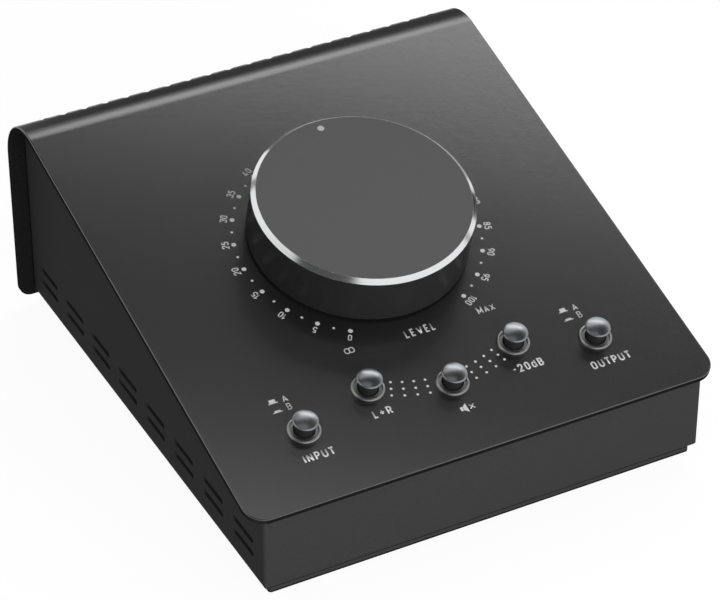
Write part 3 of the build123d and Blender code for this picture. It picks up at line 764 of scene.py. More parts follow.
# ---- cover ----
@dataclass
class Cover:
    """The bent steel cover: sloping panel, rear bend with its vents, and the flap."""

    drawing: Drawing
    sheet: float = 1.8
    bend_radius: float = 14.0
    edge_round: float = 0.3
    front_corner: float = 5.5
    flap_corner: float = 3.5
    button_hole: float = 3.6
    bushing_hole: float = 3.55
    jack_hole: float = 5.6
    mini_hole: float = 3.1
    screw_hole: float = 1.7
    screw_x: float = 56.95
    screw_z: tuple[float, float] = (11.0, 39.0)
    vents: int = 20
    vent_width: float = 2.3
    vent_pitch: float = 6.0
    vent_start: float = 36.8  # degrees round the bend
    vent_drop: float = 9.0
    bend_step: float = 3.0  # degrees between cuts across the bend
    outside_rise: float = 0.1  # faces that look up less than this are edges or the inside
    flat_rise: float = 0.99  # faces that look up or down more than this are flat

    def __post_init__(self) -> None:
        """Works out the lengths of the flat pattern."""
        slope = self.drawing.slope
        point = self.drawing.axis_point
        self.front = (self.drawing.cover_low.y - point.y) / math.cos(slope)
        bend_y = self.drawing.cover_high.y - self.bend_radius
        panel_z = point.z + (bend_y - point.y) * math.tan(slope)
        self.bend_centre = Vector((0, bend_y, panel_z - self.bend_radius / math.cos(slope)))
        bend_up = (bend_y - self.bend_radius * math.sin(slope) - point.y) / math.cos(slope)
        self.bend_turn = math.pi / 2 + slope
        self.bend_start = bend_up - self.front
        self.bend_end = self.bend_start + self.bend_radius * self.bend_turn
        self.length = self.bend_end + self.bend_centre.z - self.drawing.cover_low.z

    def flat_pattern(self) -> list[list[Corner]]:
        """Draws the sheet before it is bent: across, and along from the front.

        Returns:
            Its outline and then its openings.
        """
        half = (self.drawing.cover_high.x - self.drawing.cover_low.x) / 2
        front, flap = self.front_corner, self.flap_corner
        sheet: list[Corner] = [(-half, 0, front), (half, 0, front), (half, self.length, flap)]
        sheet.append((-half, self.length, flap))
        rings = [(0.0, -self.front, self.bushing_hole)]
        for button in Button:
            across, up = self.drawing.panel_place(f"{button.value}_switch")
            rings.append((across, up - self.front, self.button_hole))
        for name, (x, z) in self.drawing.socket_places().items():
            hole = self.mini_hole if "mini" in name else self.jack_hole
            rings.append((x, self.flap_length(z), hole))
        for z in self.screw_z:
            rings += [(s * self.screw_x, self.flap_length(z), self.screw_hole) for s in (-1, 1)]
        outlines = [sheet] + [rectangle(2 * r, 2 * r, r, x, y) for x, y, r in rings]
        start = self.bend_start + math.radians(self.vent_start) * self.bend_radius
        end = self.bend_end + self.vent_drop + self.vent_width / 2
        for i in range(self.vents):
            x = (i - (self.vents - 1) / 2) * self.vent_pitch
            middle = (start + end) / 2
            outlines.append(rectangle(self.vent_width, end - start, self.vent_width / 2, x, middle))
        return outlines

    def flap_length(self, z: float) -> float:
        """How far along the flat pattern a height on the flap lies."""
        return self.bend_end + self.bend_centre.z - z

    def bent(self, along: float, out: float) -> tuple[float, Vector, Vector]:
        """Where a point of the flat pattern goes when the sheet is bent.

        Args:
            along: Its distance from the front edge, on the outside.
            out: Its height over the outside; below zero inside the sheet.

        Returns:
            The angle turned so far, the place at x = 0, and the sheet's outward direction there.
        """
        slope = self.drawing.slope
        if along <= self.bend_start:
            place = self.drawing.on_panel(0, self.front + along, out).to_translation()
            return -slope, place, self.drawing.normal
        turned_by = min((along - self.bend_start) / self.bend_radius, self.bend_turn)
        angle = turned_by - slope
        outward = Vector((0, math.sin(angle), math.cos(angle)))
        place = self.bend_centre + outward * (self.bend_radius + out)
        place.z -= max(0.0, along - self.bend_end)
        return angle, place, outward

    def build(self) -> None:
        """Cuts the sheet, folds it and paints it."""
        sheet, *openings = [rounded(outline, step=7.5) for outline in self.flat_pattern()]
        mesh = curve_mesh(
            [sheet] + [path[::-1] for path in openings],
            closed=True,
            fill_mode="BOTH",
            extrude=self.sheet / 2 - self.edge_round,
            bevel_depth=self.edge_round,
            bevel_resolution=2,
            offset=-self.edge_round,
        )
        bm = merged([mesh])
        bmesh.ops.translate(bm, verts=bm.verts, vec=(0, 0, -self.sheet / 2))
        cuts = math.ceil(math.degrees(self.bend_turn) / self.bend_step)
        for i in range(cuts + 1):
            along = self.bend_start + (self.bend_end - self.bend_start) * i / cuts
            geom = bm.verts[:] + bm.edges[:] + bm.faces[:]
            bmesh.ops.bisect_plane(
                bm, geom=geom, dist=MERGE, plane_co=(0, along, 0), plane_no=(0, 1, 0)
            )
        bmesh.ops.recalc_face_normals(bm, faces=bm.faces)
        for face in bm.faces:
            if face.normal.z < self.outside_rise:
                # Edges and the inside take the dull paint; the front edge takes the darker one,
                # whose colour is painted shade.
                face.material_index = 2 if face.calc_center_median().y < self.edge_round else 1
        normals = self.fold(bm)
        mesh = settled(bm, "cover_sheet")
        mesh.shade_smooth()
        piece = Piece("cover_sheet", Body.CASE.value, "cover_paint", ("top_cover",))
        piece.make(mesh, Matrix(), FINISHES[piece.slot], DULL_PAINT, FRONT_EDGE_SHADE_PAINT)
        mesh.normals_split_custom_set_from_vertices(normals)

    def fold(self, bm: BMesh) -> list[Vector]:
        """Bends the flat sheet and works out its normals.

        Args:
            bm: The flat sheet, its outside on z = 0.

        Returns:
            The shading normal of each vertex, straight on the faces and round on the edges.
        """
        normals = []
        wall = self.sheet / 2 - self.edge_round
        for vert in bm.verts:
            side = Vector((0, 0, 0))
            for face in vert.link_faces:
                if abs(face.normal.z) < self.flat_rise:
                    side += Vector((face.normal.x, face.normal.y, 0)).normalized()
            height = vert.co.z + self.sheet / 2
            lift = max(0.0, min(1.0, (abs(height) - wall) / self.edge_round))
            flat = side.normalized() * math.sqrt(1 - lift * lift)
            flat.z = math.copysign(lift, height)
            angle, place, outward = self.bent(vert.co.y, vert.co.z)
            ahead = Vector((0, math.cos(angle), -math.sin(angle)))
            normals.append(Vector((flat.x, 0, 0)) + ahead * flat.y + outward * flat.z)
            vert.co = Vector((vert.co.x, place.y, place.z))
        return normals


# ---- chassis ----
@dataclass
class Feet:
    """Four rubber feet under the base plate."""

    drawing: Drawing
    radius: float = 6.0
    height: float = 3.0
    chamfer: float = 0.75
    hollow: float = 2.6
    hollow_depth: float = 1.3

    def build(self) -> None:
        """Turns a foot with its screw's hollow and sets one in each corner."""
        low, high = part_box("rubber_feet")
        profile = [
            (0, self.hollow_depth), (self.hollow, self.hollow_depth, 0.2), (self.hollow, 0, 0.3),
            (self.radius - self.chamfer, 0, 0.6), (self.radius, self.chamfer, 0.5),
            (self.radius, self.height, 0.15), (0, self.height),
        ]
        feet = []
        for x in (low.x / MM + self.radius, high.x / MM - self.radius):
            for y in (low.y / MM + self.radius, high.y / MM - self.radius):
                foot = turned(profile, steps=48)
                bmesh.ops.translate(foot, verts=foot.verts, vec=(x, y, 0))
                feet.append(settled(foot, "foot"))
        piece = Piece("feet", Body.CASE.value, "rubber", ("rubber_feet",))
        piece.from_bmesh(merged(feet), Matrix())


# ---- knob ----
@dataclass
class Knob:
    """The large level knob: skirt, bright ring, face and pointer."""

    drawing: Drawing
    radius: float = 28.7
    foot: float = 0.6
    seat: float = 13.65  # skirt's upper edge
    seat_width: float = 0.7
    seat_depth: float = 0.5
    height: float = 14.9
    flat_radius: float = 27.55
    face_radius: float = 27.4
    face_bed: float = 0.05  # face's underside over the seat
    wall: float = 2.2
    ceiling: float = 11.3
    hub_radius: float = 7.0
    hub_end: float = 5.6
    bore: float = 4.5
    bore_end: float = 12.6
    pointer_radius: float = 0.92
    pointer_place: float = 24.95
    pointer_proud: float = 0.03
    pointer_depth: float = 0.5

    def skirt(self) -> list[Corner]:
        """Half section of the skirt, hollow round its hub.

        Returns:
            Its corners, as turned takes them.
        """
        inside, floor = self.radius - self.wall, self.seat - self.seat_depth
        seat, bed = self.radius - self.seat_width, self.seat + self.face_bed
        return [
            (0, self.bore_end), (self.bore, self.bore_end), (self.bore, self.hub_end, 0.1),
            (self.hub_radius, self.hub_end, 0.2), (self.hub_radius, self.ceiling, 0.5),
            (inside, self.ceiling, 0.5), (inside, self.foot, 0.25), (self.radius, self.foot, 0.35),
            (self.radius, self.seat, 0.12), (seat, self.seat), (seat, floor),
            (self.face_radius, floor), (self.face_radius, bed), (0, bed),
        ]

    def ring(self) -> list[Corner]:
        """Section of the bright ring: its chamfer over the seat."""
        seat, floor = self.radius - self.seat_width, self.seat - self.seat_depth
        return [
            (self.face_radius, floor), (seat, floor), (seat, self.seat), (self.radius, self.seat),
            (self.radius, self.seat + 0.12, 0.04), (self.flat_radius, self.height - 0.02, 0.02),
            (self.face_radius, self.height - 0.1),
        ]

    def face(self) -> list[Corner]:
        """Half section of the face, with a hair of an edge down to the ring."""
        bed = self.seat + self.face_bed
        return [
            (0, bed), (self.face_radius, bed), (self.face_radius, self.height - 0.08),
            (self.flat_radius - 0.03, self.height - 0.03, 0.02),
            (self.flat_radius - 0.08, self.height, 0.04), (0, self.height),
        ]

    def pointer(self) -> list[Corner]:
        """Half section of the enamelled dot.

        Returns:
            Its corners, as turned takes them.
        """
        top, radius = self.height + self.pointer_proud, self.pointer_radius
        floor = top - self.pointer_depth
        return [(0, floor), (radius, floor), (radius, top, 0.08), (0, top)]

    def build(self) -> None:
        """Turns the four pieces that show."""
        place = self.drawing.on_panel()
        dot = self.drawing.on_panel(0, self.pointer_place)
        # Diamond-cut aluminium: bright, with the tool's rings just blurring the gloss.
        bright = Turned("diamond_cut_aluminium", "#e4e5e6", 0.16, metallic=1.0, place=place)
        for name, slot, node, profile, steps, where, finishes in (
            ("knob_skirt", "knob_metal", "knob_body", self.skirt(), 192, place, ()),
            ("knob_ring", "polished_trim", "knob_trim_ring", self.ring(), 192, place, (bright,)),
            ("knob_face", "knob_face", "knob_top_disc", self.face(), 192, place, ()),
            ("knob_dot", "pointer_white", "knob_pointer", self.pointer(), 40, dot, (POINTER,)),
        ):
            piece = Piece(name, Body.KNOB.value, slot, (node,))
            piece.from_bmesh(turned(profile, steps), where, *finishes)


# ---- push buttons ----
class Button(Enum):
    """The five push buttons, left to right."""

    SOURCE = "source"
    MONO = "mono"
    MUTE = "mute"
    DIM = "dim"
    OUTPUT = "output"


@dataclass
class PushButton:
    """A latching button: chromed cap on a dark stem, in its pressed-in collar."""

    drawing: Drawing
    button: Button
    cap_radius: float = 3.28
    cap_height: float = 5.0
    cap_floor: float = 3.85
    crown: float = 0.45
    shoulder: float = 0.7
    dome_steps: int = 8
    stem_radius: float = 2.5
    stem_end: float = -2.9
    pin_radius: float = 1.6
    pin_end: float = -9.6
    collar_radius: float = 4.3
    collar_height: float = 0.8
    collar_rim: float = 0.7
    collar_face: float = 0.35
    lip_height: float = 0.55
    lip_radius: float = 3.1
    collar_bore: float = 2.75
    sleeve: float = 3.6
    collar_end: float = -2.4
    spring_floor: float = -14.0
    spring_gap: float = 0.1
    spring_height: float = 4.2
    spring_radius: float = 1.3
    spring_wire: float = 0.2  # its radius
    spring_turns: int = 5
    spring_kept: float = 0.41  # share of its height left when the button is in
    steps: int = 64

    def cap(self) -> list[Corner]:
        """Half section of the domed cap.

        Returns:
            Its corners, as turned takes them.
        """
        reach = self.cap_radius - self.shoulder
        shares = [1 - k / self.dome_steps for k in range(self.dome_steps + 1)]
        dome = [(reach * s, self.cap_height - self.crown * s**2) for s in shares]
        corner = (self.cap_radius, dome[0][1] - 2 * self.crown / reach * self.shoulder, 0.5)
        return [(0, self.cap_floor), (self.cap_radius, self.cap_floor, 0.12), corner, *dome]

    def stem(self) -> list[Corner]:
        """Half section of the stem and the pin under it."""
        return [
            (0, self.pin_end), (self.pin_radius, self.pin_end, 0.2),
            (self.pin_radius, self.stem_end), (self.stem_radius, self.stem_end, 0.15),
            (self.stem_radius, self.cap_floor), (0, self.cap_floor),
        ]

    def collar(self) -> list[Corner]:
        """Section of the collar: sleeve, raised rim, groove and inner lip."""
        groove = self.collar_radius - self.collar_rim
        return [
            (self.collar_bore, self.collar_end), (self.sleeve, self.collar_end), (self.sleeve, 0),
            (self.collar_radius, 0), (self.collar_radius, self.collar_height, 0.5),
            (groove, self.collar_height, 0.14), (groove, self.collar_face, 0.06),
            (self.lip_radius, self.collar_face, 0.04), (self.lip_radius, self.lip_height, 0.06),
            (self.collar_bore, self.lip_height, 0.08),
        ]

    def build(self) -> Object:
        """Makes spring, cap, stem and collar.

        Returns:
            The cap, which is lit by itself.
        """
        name = self.button.value
        place = self.drawing.on_panel(*self.drawing.panel_place(f"{name}_switch"))
        self.spring(place)
        made = []
        rides, metals = f"{name}_button", (FINISHES["collar_metal"], COLLAR_INSIDE_WITH_SHADE)
        for part, word, body, slot, profile, finishes in (
            ("cap", "chromed", rides, "button_chrome", self.cap(), ()),
            ("stem", "turned", rides, "button_stem", self.stem(), ()),
            ("collar", "turned", Body.CASE.value, "collar_metal", self.collar(), metals),
        ):
            form = turned(profile, self.steps)
            # Faces inside the rim take the darker nickel, whose colour is painted shade.
            if part == "collar":
                for face in form.faces:
                    away = face.calc_center_median().to_2d().length
                    face.material_index = int(away < self.collar_radius - self.collar_rim)
            piece = Piece(f"{name}_{part}_{word}", body, slot, (f"{name}_{part}",))
            made.append(piece.from_bmesh(form, place, *finishes))
        return made[0]

    def spring(self, place: Matrix) -> None:
        """Winds the return spring.

        Args:
            place: The button's place on the panel.
        """
        per_turn = 24
        rise = (self.spring_height - 2 * self.spring_wire) / (self.spring_turns * per_turn)
        bm = bmesh.new()
        bmesh.ops.create_circle(bm, cap_ends=True, radius=self.spring_wire, segments=10)
        bmesh.ops.rotate(bm, verts=bm.verts, matrix=Matrix.Rotation(math.pi / 2, 3, "X"))
        start = (self.spring_radius, 0, self.spring_floor + self.spring_gap + self.spring_wire)
        bmesh.ops.translate(bm, verts=bm.verts, vec=start)
        bmesh.ops.spin(
            bm,
            geom=bm.faces[:],
            cent=(0, 0, 0),
            axis=(0, 0, 1),
            dvec=(0, 0, rise),
            angle=self.spring_turns * WHOLE_TURN,
            steps=self.spring_turns * per_turn,
            use_duplicate=False,
        )
        bmesh.ops.recalc_face_normals(bm, faces=bm.faces)
        name = self.button.value
        piece = Piece(f"{name}_spring_wound", Body.CASE.value, "spring_steel", (f"{name}_spring",))
        made = piece.from_bmesh(bm, place)
        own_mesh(made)


# ---- prints ----
@dataclass(frozen=True)
class Stroke:
    """One line of a letter, in shares of its skeleton; roundings are shares of its height."""

    corners: tuple[Corner, ...]
    closed: bool

    @classmethod
    def read(cls, notes: str) -> "Stroke":
        """Reads a stroke from its notes.

        Args:
            notes: "x,y" or "x,y,rounding" for each corner, after an O where the line is closed.

        Returns:
            The stroke.
        """
        closed = notes.startswith("O ")
        spots = notes.removeprefix("O ").split()
        return cls(tuple(tuple(map(float, spot.split(","))) for spot in spots), closed)


class Glyph:
    """A character: its outside width, as a share of its height, and its strokes."""

    def __init__(self, width: float, *notes: str) -> None:
        """Reads the strokes from their notes."""
        self.width = width
        self.strokes = tuple(map(Stroke.read, notes))


GLYPHS: dict[str, Glyph] = {
    "0": Glyph(0.55, "O 0,0,.26 1,0,.26 1,1,.26 0,1,.26"),
    "1": Glyph(0.36, "0,.74 1,1 1,0"),
    "2": Glyph(0.54, "0,.72 0,1,.24 1,1,.24 1,.6,.12 0,0 1,0"),
    "3": Glyph(
        0.54,
        "0,.76 0,1,.22 1,1,.22 1,.53,.2 .35,.53",
        ".35,.53 1,.53,.22 1,0,.24 0,0,.24 0,.24",
    ),
    "4": Glyph(0.58, ".55,1 0,.24 1,.24", ".76,.5 .76,0"),
    "5": Glyph(0.54, ".95,1 .04,1 .04,.6 1,.6,.24 1,0,.26 0,0,.24 0,.2"),
    "6": Glyph(0.56, "O 0,0,.26 1,0,.26 1,.6,.26 0,.6,.26", "0,.3 0,.66,.3 .72,1"),
    "7": Glyph(0.52, "0,1 1,1 .3,0"),
    "8": Glyph(
        0.56,
        "O .06,.53,.26 .94,.53,.26 .94,1,.26 .06,1,.26",
        "O 0,0,.26 1,0,.26 1,.53,.26 0,.53,.26",
    ),
    "9": Glyph(0.56, "O 0,.4,.26 1,.4,.26 1,1,.26 0,1,.26", "1,.7 1,.34,.3 .28,0"),
    "+": Glyph(0.62, "0,.5 1,.5", ".5,.2 .5,.8"),
    "-": Glyph(0.44, "0,.5 1,.5"),
    "A": Glyph(0.66, "0,0 .5,1", "1,0 .5,1", ".17,.28 .83,.28"),
    "B": Glyph(0.58, "0,0 0,1 .93,1,.22 .93,.53,.22 0,.53", "0,.53 1,.53,.24 1,0,.24 -.2,0"),
    "E": Glyph(0.5, "1,1 0,1 0,0 1,0", "0,.52 .88,.52"),
    "I": Glyph(0.17, "0,0 0,1"),
    "L": Glyph(0.48, "0,1 0,0 1,0"),
    "M": Glyph(0.76, "0,0 0,1 .5,.3 1,1 1,0"),
    "N": Glyph(0.64, "0,0 0,1", "0,1 1,0", "1,0 1,1"),
    "O": Glyph(0.62, "O 0,0,.26 1,0,.26 1,1,.26 0,1,.26"),
    "P": Glyph(0.56, "0,0 0,1 1,1,.26 1,.45,.26 0,.45"),
    "R": Glyph(0.6, "0,0 0,1 .95,1,.26 .95,.46,.26 0,.46", ".5,.46 1,0"),
    "T": Glyph(0.54, "-.15,1 1.15,1", ".5,1 .5,0"),
    "U": Glyph(0.62, "0,1 0,0,.26 1,0,.26 1,1"),
    "V": Glyph(0.66, "0,1 .5,0", "1,1 .5,0"),
    "X": Glyph(0.64, "0,0 1,1", "0,1 1,0"),
    "d": Glyph(0.54, "O 0,0,.26 1,0,.26 1,.72,.26 0,.72,.26", "1,0 1,1"),
}


@dataclass
class Ink:
    """Screen-printed ink on the panel: gathers strokes and filled shapes, then prints them."""

    name: str
    weight: float  # width of a stroke
    thickness: float = 0.03
    paths: list[tuple[list[Vector], bool]] = field(default_factory=list)
    fills: list[list[Vector]] = field(default_factory=list)

    def text(
        self,
        words: str,
        height: float,
        across: float,
        up: float,
        turn: float = 0.0,
        gap: float = 0.17,
    ) -> None:
        """Sets a word about a point.

        Args:
            words: The characters.
            height: Their height.
            across: The middle of the word on the panel.
            up: The middle of its height on the panel.
            turn: The word's turn about that point, in radians.
            gap: Space between characters, as a share of the height.
        """
        glyphs = [GLYPHS[c] for c in words]
        total = sum(g.width for g in glyphs) + gap * (len(glyphs) - 1)
        left = -total * height / 2
        rise = height - self.weight
        place = Matrix.Rotation(turn, 2)
        for glyph in glyphs:
            reach = max(0.0, glyph.width * height - self.weight)
            for stroke in glyph.strokes:
                corners = []
                for corner in stroke.corners:
                    x = left + self.weight / 2 + corner[0] * reach
                    y = self.weight / 2 - height / 2 + corner[1] * rise
                    spot = place @ Vector((x, y)) + Vector((across, up))
                    corners.append((spot.x, spot.y, *(r * height for r in corner[2:])))
                self.paths.append((fitted(corners, stroke.closed), stroke.closed))
            left += (glyph.width + gap) * height

    def dot(self, across: float, up: float, diameter: float) -> None:
        """Prints a round dot."""
        ring = rectangle(diameter, diameter, diameter / 2, across, up)
        self.fills.append(rounded(ring, step=22.5))

    def patch(self, *corners: Corner) -> None:
        """Prints a filled shape."""
        self.fills.append(rounded(corners))

    def print(self, drawing: Drawing) -> None:
        """Makes the print one thin mesh on the panel, half its thickness let into the paint.

        Args:
            drawing: Where the panel is.
        """
        meshes = []
        for closed in (True, False):
            paths = [path for path, is_closed in self.paths if is_closed == closed]
            if paths:
                mesh = curve_mesh(
                    paths,
                    closed,
                    fill_mode="NONE",
                    bevel_depth=self.weight / 2,
                    bevel_resolution=1,
                    use_fill_caps=True,
                )
                mesh.transform(Matrix.Scale(self.thickness / self.weight, 4, (0, 0, 1)))
                meshes.append(mesh)
        if self.fills:
            depth = self.thickness / 2
            meshes.append(curve_mesh(self.fills, True, fill_mode="BOTH", extrude=depth))
        whole = merged(meshes)
        bmesh.ops.recalc_face_normals(whole, faces=whole.faces)
        piece = Piece(self.name, Body.CASE.value, "pointer_white")
        piece.make(settled(whole, self.name), drawing.on_panel())


def fitted(corners: Sequence[Corner], closed: bool) -> list[Vector]:
    """Rounds a letter's corners, no further than half of its shorter neighbouring run.

    Args:
        corners: The corners in order, as rounded takes them.
        closed: Whether the last corner runs back to the first.

    Returns:
        The points of the rounded line.
    """
    count = len(corners)
    eased = []
    for i, corner in enumerate(corners):
        here = Vector(corner[:2])
        back = (Vector(corners[i - 1][:2]) - here).length
        ahead = (Vector(corners[(i + 1) % count][:2]) - here).length
        radius = corner[2] if len(corner) > 2 else 0.0
        eased.append((here.x, here.y, min(radius, 0.49 * back, 0.49 * ahead)))
    return rounded(eased, closed, step=15)


@dataclass
class Legends:
    """Everything printed on the panel: dial, words, switch marks and guide dots."""

    drawing: Drawing
    dial_sweep: float = 300.0
    dial_steps: int = 40  # half steps of the numbers
    dial_dots: float = 32.17
    dial_numbers: float = 34.34
    number_height: float = 1.95
    mark_weight: float = 0.3
    big_dot: float = 1.26
    small_dot: float = 0.68
    word_weight: float = 0.46
    word_height: float = 2.5
    words: tuple[tuple[str, float, float], ...] = (
        ("LEVEL", 0.3, -33.85),
        ("INPUT", -40.75, -59.95),
        ("L+R", -20.35, -53.8),
        ("-20dB", 20.44, -53.8),
        ("OUTPUT", 41.0, -59.85),
    )
    maximum: Span = (19.3, -33.7)
    infinity: Span = (-19.2, -33.4)
    infinity_loop: Corner = (1.3, 1.55, 0.62)  # width, height and rounding of one loop
    infinity_shift: float = 0.6
    choice_x: float = 40.9
    choice_height: float = 2.1
    choices: tuple[tuple[str, float, float, float], ...] = (
        ("A", -41.26, -41.8, 1.0),  # letter, its middle, and its icon's foot and rise
        ("B", -43.86, -44.7, 0.42),
    )
    icons: Span = (-44.2, 37.5)  # of the left and the right pair
    icon_bar: Span = (1.3, 0.26)  # half its width, and its height
    icon_block: float = 0.82  # half its width
    icon_gap: float = 0.28  # from the bar's foot to the block's
    speaker: tuple[tuple[Corner, ...], ...] = (
        ((-2.0, -60.75), (-1.25, -60.75), (-1.25, -59.55), (-2.0, -59.55)),
        ((-1.15, -60.7), (-0.1, -61.55), (-0.1, -58.75), (-1.15, -59.6)),
    )
    cross: tuple[tuple[Span, Span], ...] = (
        ((0.5, -60.8), (1.8, -59.5)),
        ((0.5, -59.5), (1.8, -60.8)),
    )
    guide_centre: float = -12.4
    guide_radii: tuple[float, ...] = (36.6, 38.7, 40.8)
    guide_first: float = 9.15
    guide_step: float = 4.58

    def build(self) -> None:
        """Prints the panel."""
        self.dial()
        ink = Ink("print_words", self.word_weight)
        for word, across, up in self.words:
            ink.text(word, self.word_height, across, up, gap=0.2)
        ink.print(self.drawing)
        self.marks()
        self.guides()

    def dial(self) -> None:
        """Numbers from 0 to 100 and the dots between them."""
        ink = Ink("print_dial", self.mark_weight)
        for i in range(self.dial_steps + 1):
            angle = math.radians(self.dial_sweep * (i / self.dial_steps - 0.5))
            ray = Vector((math.sin(angle), math.cos(angle)))
            ink.dot(*(ray * self.dial_dots), self.small_dot if i % 2 else self.big_dot)
            if i % 2 == 0:
                number = str(100 * i // self.dial_steps)
                ink.text(number, self.number_height, *(ray * self.dial_numbers), -angle, gap=0.14)
        ink.print(self.drawing)

    def marks(self) -> None:
        """Switch positions, end marks of the dial and the mute sign."""
        ink = Ink("print_marks", self.mark_weight)
        ink.text("MAX", self.number_height, *self.maximum, gap=0.22)
        x, y = self.infinity
        for shift in (-self.infinity_shift, self.infinity_shift):
            loop = rectangle(*self.infinity_loop, x + shift, y)
            ink.paths.append((rounded(loop, step=20), True))
        half, thick = self.icon_bar
        bar = ((-half, 0), (half, 0), (half, thick), (-half, thick))
        for side, icon in zip((-self.choice_x, self.choice_x), self.icons):
            for letter, up, foot, rise in self.choices:
                ink.text(letter, self.choice_height, side, up)
                ink.patch(*((icon + x, foot + y) for x, y in bar))
                low, high = foot + self.icon_gap, foot + self.icon_gap + rise
                left, right = icon - self.icon_block, icon + self.icon_block
                ink.patch((left, low), (right, low), (right, high, 0.15), (left, high, 0.15))
        for shape in self.speaker:
            ink.patch(*shape)
        for line in self.cross:
            ink.paths.append(([Vector(end) for end in line], False))
        ink.print(self.drawing)

    def guides(self) -> None:
        """Three curved rows of small dots on each side of the middle button."""
        ink = Ink("print_guide_dots", self.small_dot)
        for side in (-1, 1):
            for i in range(4):
                angle = math.radians(side * (self.guide_first + i * self.guide_step))
                for radius in self.guide_radii:
                    up = self.guide_centre - radius * math.cos(angle)
                    ink.dot(radius * math.sin(angle), up, self.small_dot)
        ink.print(self.drawing)


# ---- rear sockets ----
@dataclass(frozen=True)
class Nut:
    """Sizes of a socket's hexagon nut."""

    flats: float
    bore: float
    low: float  # its underside over the flap, which is its washer's thickness
    high: float
    turn: float  # degrees from a flat on the right


@dataclass
class Sockets:
    """Nuts and washers of the rear sockets, round the noses that are nodes of the frame."""

    drawing: Drawing
    large: Nut = Nut(13.0, 5.55, 0.6, 2.6, 30)
    mini: Nut = Nut(8.0, 3.05, 0.0, 1.5, 0)
    chamfer: float = 0.45
    washer_radius: float = 6.5

    def build(self) -> None:
        """Puts a nut on each socket, and a washer under each large one."""
        nuts, washers = [], []
        for name, (x, z) in self.drawing.socket_places().items():
            size = self.mini if name.startswith("mini") else self.large
            place = self.drawing.on_flap(x, z)
            nuts.append(settled(self.nut(size, place), "nut"))
            if size is self.large:
                washers.append(settled(self.washer(place), "washer"))
        for name, made in (("nuts", nuts), ("washers", washers)):
            piece = Piece(f"socket_{name}", Body.CASE.value, "nickel", (f"jack_{name}",))
            piece.from_bmesh(merged(made), Matrix())

    def nut(self, size: Nut, place: Matrix) -> BMesh:
        """Makes a hexagon nut with chamfered corners.

        Args:
            size: Its sizes.
            place: The socket's place on the flap.

        Returns:
            The nut, in the object's coordinates.
        """
        bore, low, high, half = size.bore, size.low, size.high, size.flats / 2
        corner = half / math.cos(math.pi / 6)
        chamfer = [(corner, high - self.chamfer), (half + 0.05, high, 0.05)]
        bm = turned([(bore, low, 0.1), (corner, low), *chamfer, (bore, high, 0.25)], steps=96)
        start = math.radians(size.turn)
        for i in range(6):
            angle = start + i * math.pi / 3
            out = Vector((math.cos(angle), math.sin(angle), 0))
            geom = bm.verts[:] + bm.edges[:] + bm.faces[:]
            cut = bmesh.ops.bisect_plane(
                bm, geom=geom, dist=MERGE, plane_co=out * half, plane_no=out, clear_outer=True
            )
            edges = [g for g in cut["geom_cut"] if isinstance(g, BMEdge)]
            bmesh.ops.edgenet_fill(bm, edges=edges)
        bmesh.ops.recalc_face_normals(bm, faces=bm.faces)
        bmesh.ops.transform(bm, matrix=place, verts=bm.verts)
        return bm

    def washer(self, place: Matrix) -> BMesh:
        """Makes a flat washer for under a large nut.

        Args:
            place: The socket's place on the flap.

        Returns:
            The washer, in the object's coordinates.
        """
        bore, top, radius = self.large.bore, self.large.low, self.washer_radius
        profile = [(bore, 0), (radius, 0, 0.08), (radius, top, 0.15), (bore, top, 0.1)]
        bm = turned(profile, steps=64)
        bmesh.ops.transform(bm, matrix=place, verts=bm.verts)
        return bm


# ---- studio ----
class Reach(Enum):
    """Which pieces a lamp lights."""

    EVERYTHING = ""
    NOT_POLISHED = "EXCLUDE"
    ONLY_POLISHED = "INCLUDE"


@dataclass(frozen=True)
class Softbox:
    """A large square lamp with cloth over it, aimed at the object."""

    name: str
    azimuth: float  # degrees from straight behind, towards the right
    elevation: float
    distance: float  # metres
    width: float
    height: float
    strength: float  # against a white background's 1
    roll: float = 0.0  # degrees round its own axis
    on_matt: bool = True  # whether it lights matt surfaces
    in_gloss: bool = True  # whether glossy surfaces show it
    reach: Reach = Reach.EVERYTHING

    def build(self, target: Vector, polished: Sequence[Object]) -> None:
        """Hangs the lamp, and keeps it on or off the polished pieces.

        Args:
            target: The point that it is aimed at, in metres.
            polished: The pieces that are lit by themselves.
        """
        turn, lift = math.radians(self.azimuth), math.radians(self.elevation)
        level = math.cos(lift)
        ray = Vector((math.sin(turn) * level, math.cos(turn) * level, math.sin(lift)))
        lamp = bpy.data.lights.new(self.name, "AREA")
        lamp.shape = "RECTANGLE"
        lamp.size = self.width
        lamp.size_y = self.height
        lamp.energy = self.strength * math.pi * self.width * self.height
        holder = placed(self.name, lamp)
        holder.visible_glossy = self.in_gloss
        holder.visible_diffuse = self.on_matt
        aimed = ray.to_track_quat("Z", "Y").to_matrix().to_4x4()
        rolled = aimed @ Matrix.Rotation(math.radians(self.roll), 4, "Z")
        holder.matrix_world = Matrix.Translation(target + ray * self.distance) @ rolled
        if self.reach is Reach.EVERYTHING:
            return
        receivers = bpy.data.collections.new(f"{self.name}_receivers")
        for piece in polished:
            receivers.objects.link(piece)
        for member in receivers.collection_objects:
            member.light_linking.link_state = self.reach.value
        holder.light_linking.receiver_collection = receivers


@dataclass(frozen=True)
class DarkCard:
    """A dark gap between the studio's white cloths, which only reflections show."""

    azimuth: float  # degrees from straight behind, towards the right
    half_width: float
    elevation: float
    half_height: float
    light: float = 0.1
    soft: float = 4.0  # degrees from dark to light


def grid(name: str, segments: int, size: float, finish: Finish) -> Object:
    """Puts a flat sheet on the floor, for the studio only.

    Args:
        name: The sheet's name.
        segments: Faces along a side.
        size: Half its side, in metres.
        finish: Its finish.

    Returns:
        The sheet.
    """
    bm = bmesh.new()
    bmesh.ops.create_grid(bm, x_segments=segments, y_segments=segments, size=size)
    sheet = placed(name, settled(bm, name))
    sheet.data.materials.append(finish.material())
    return sheet


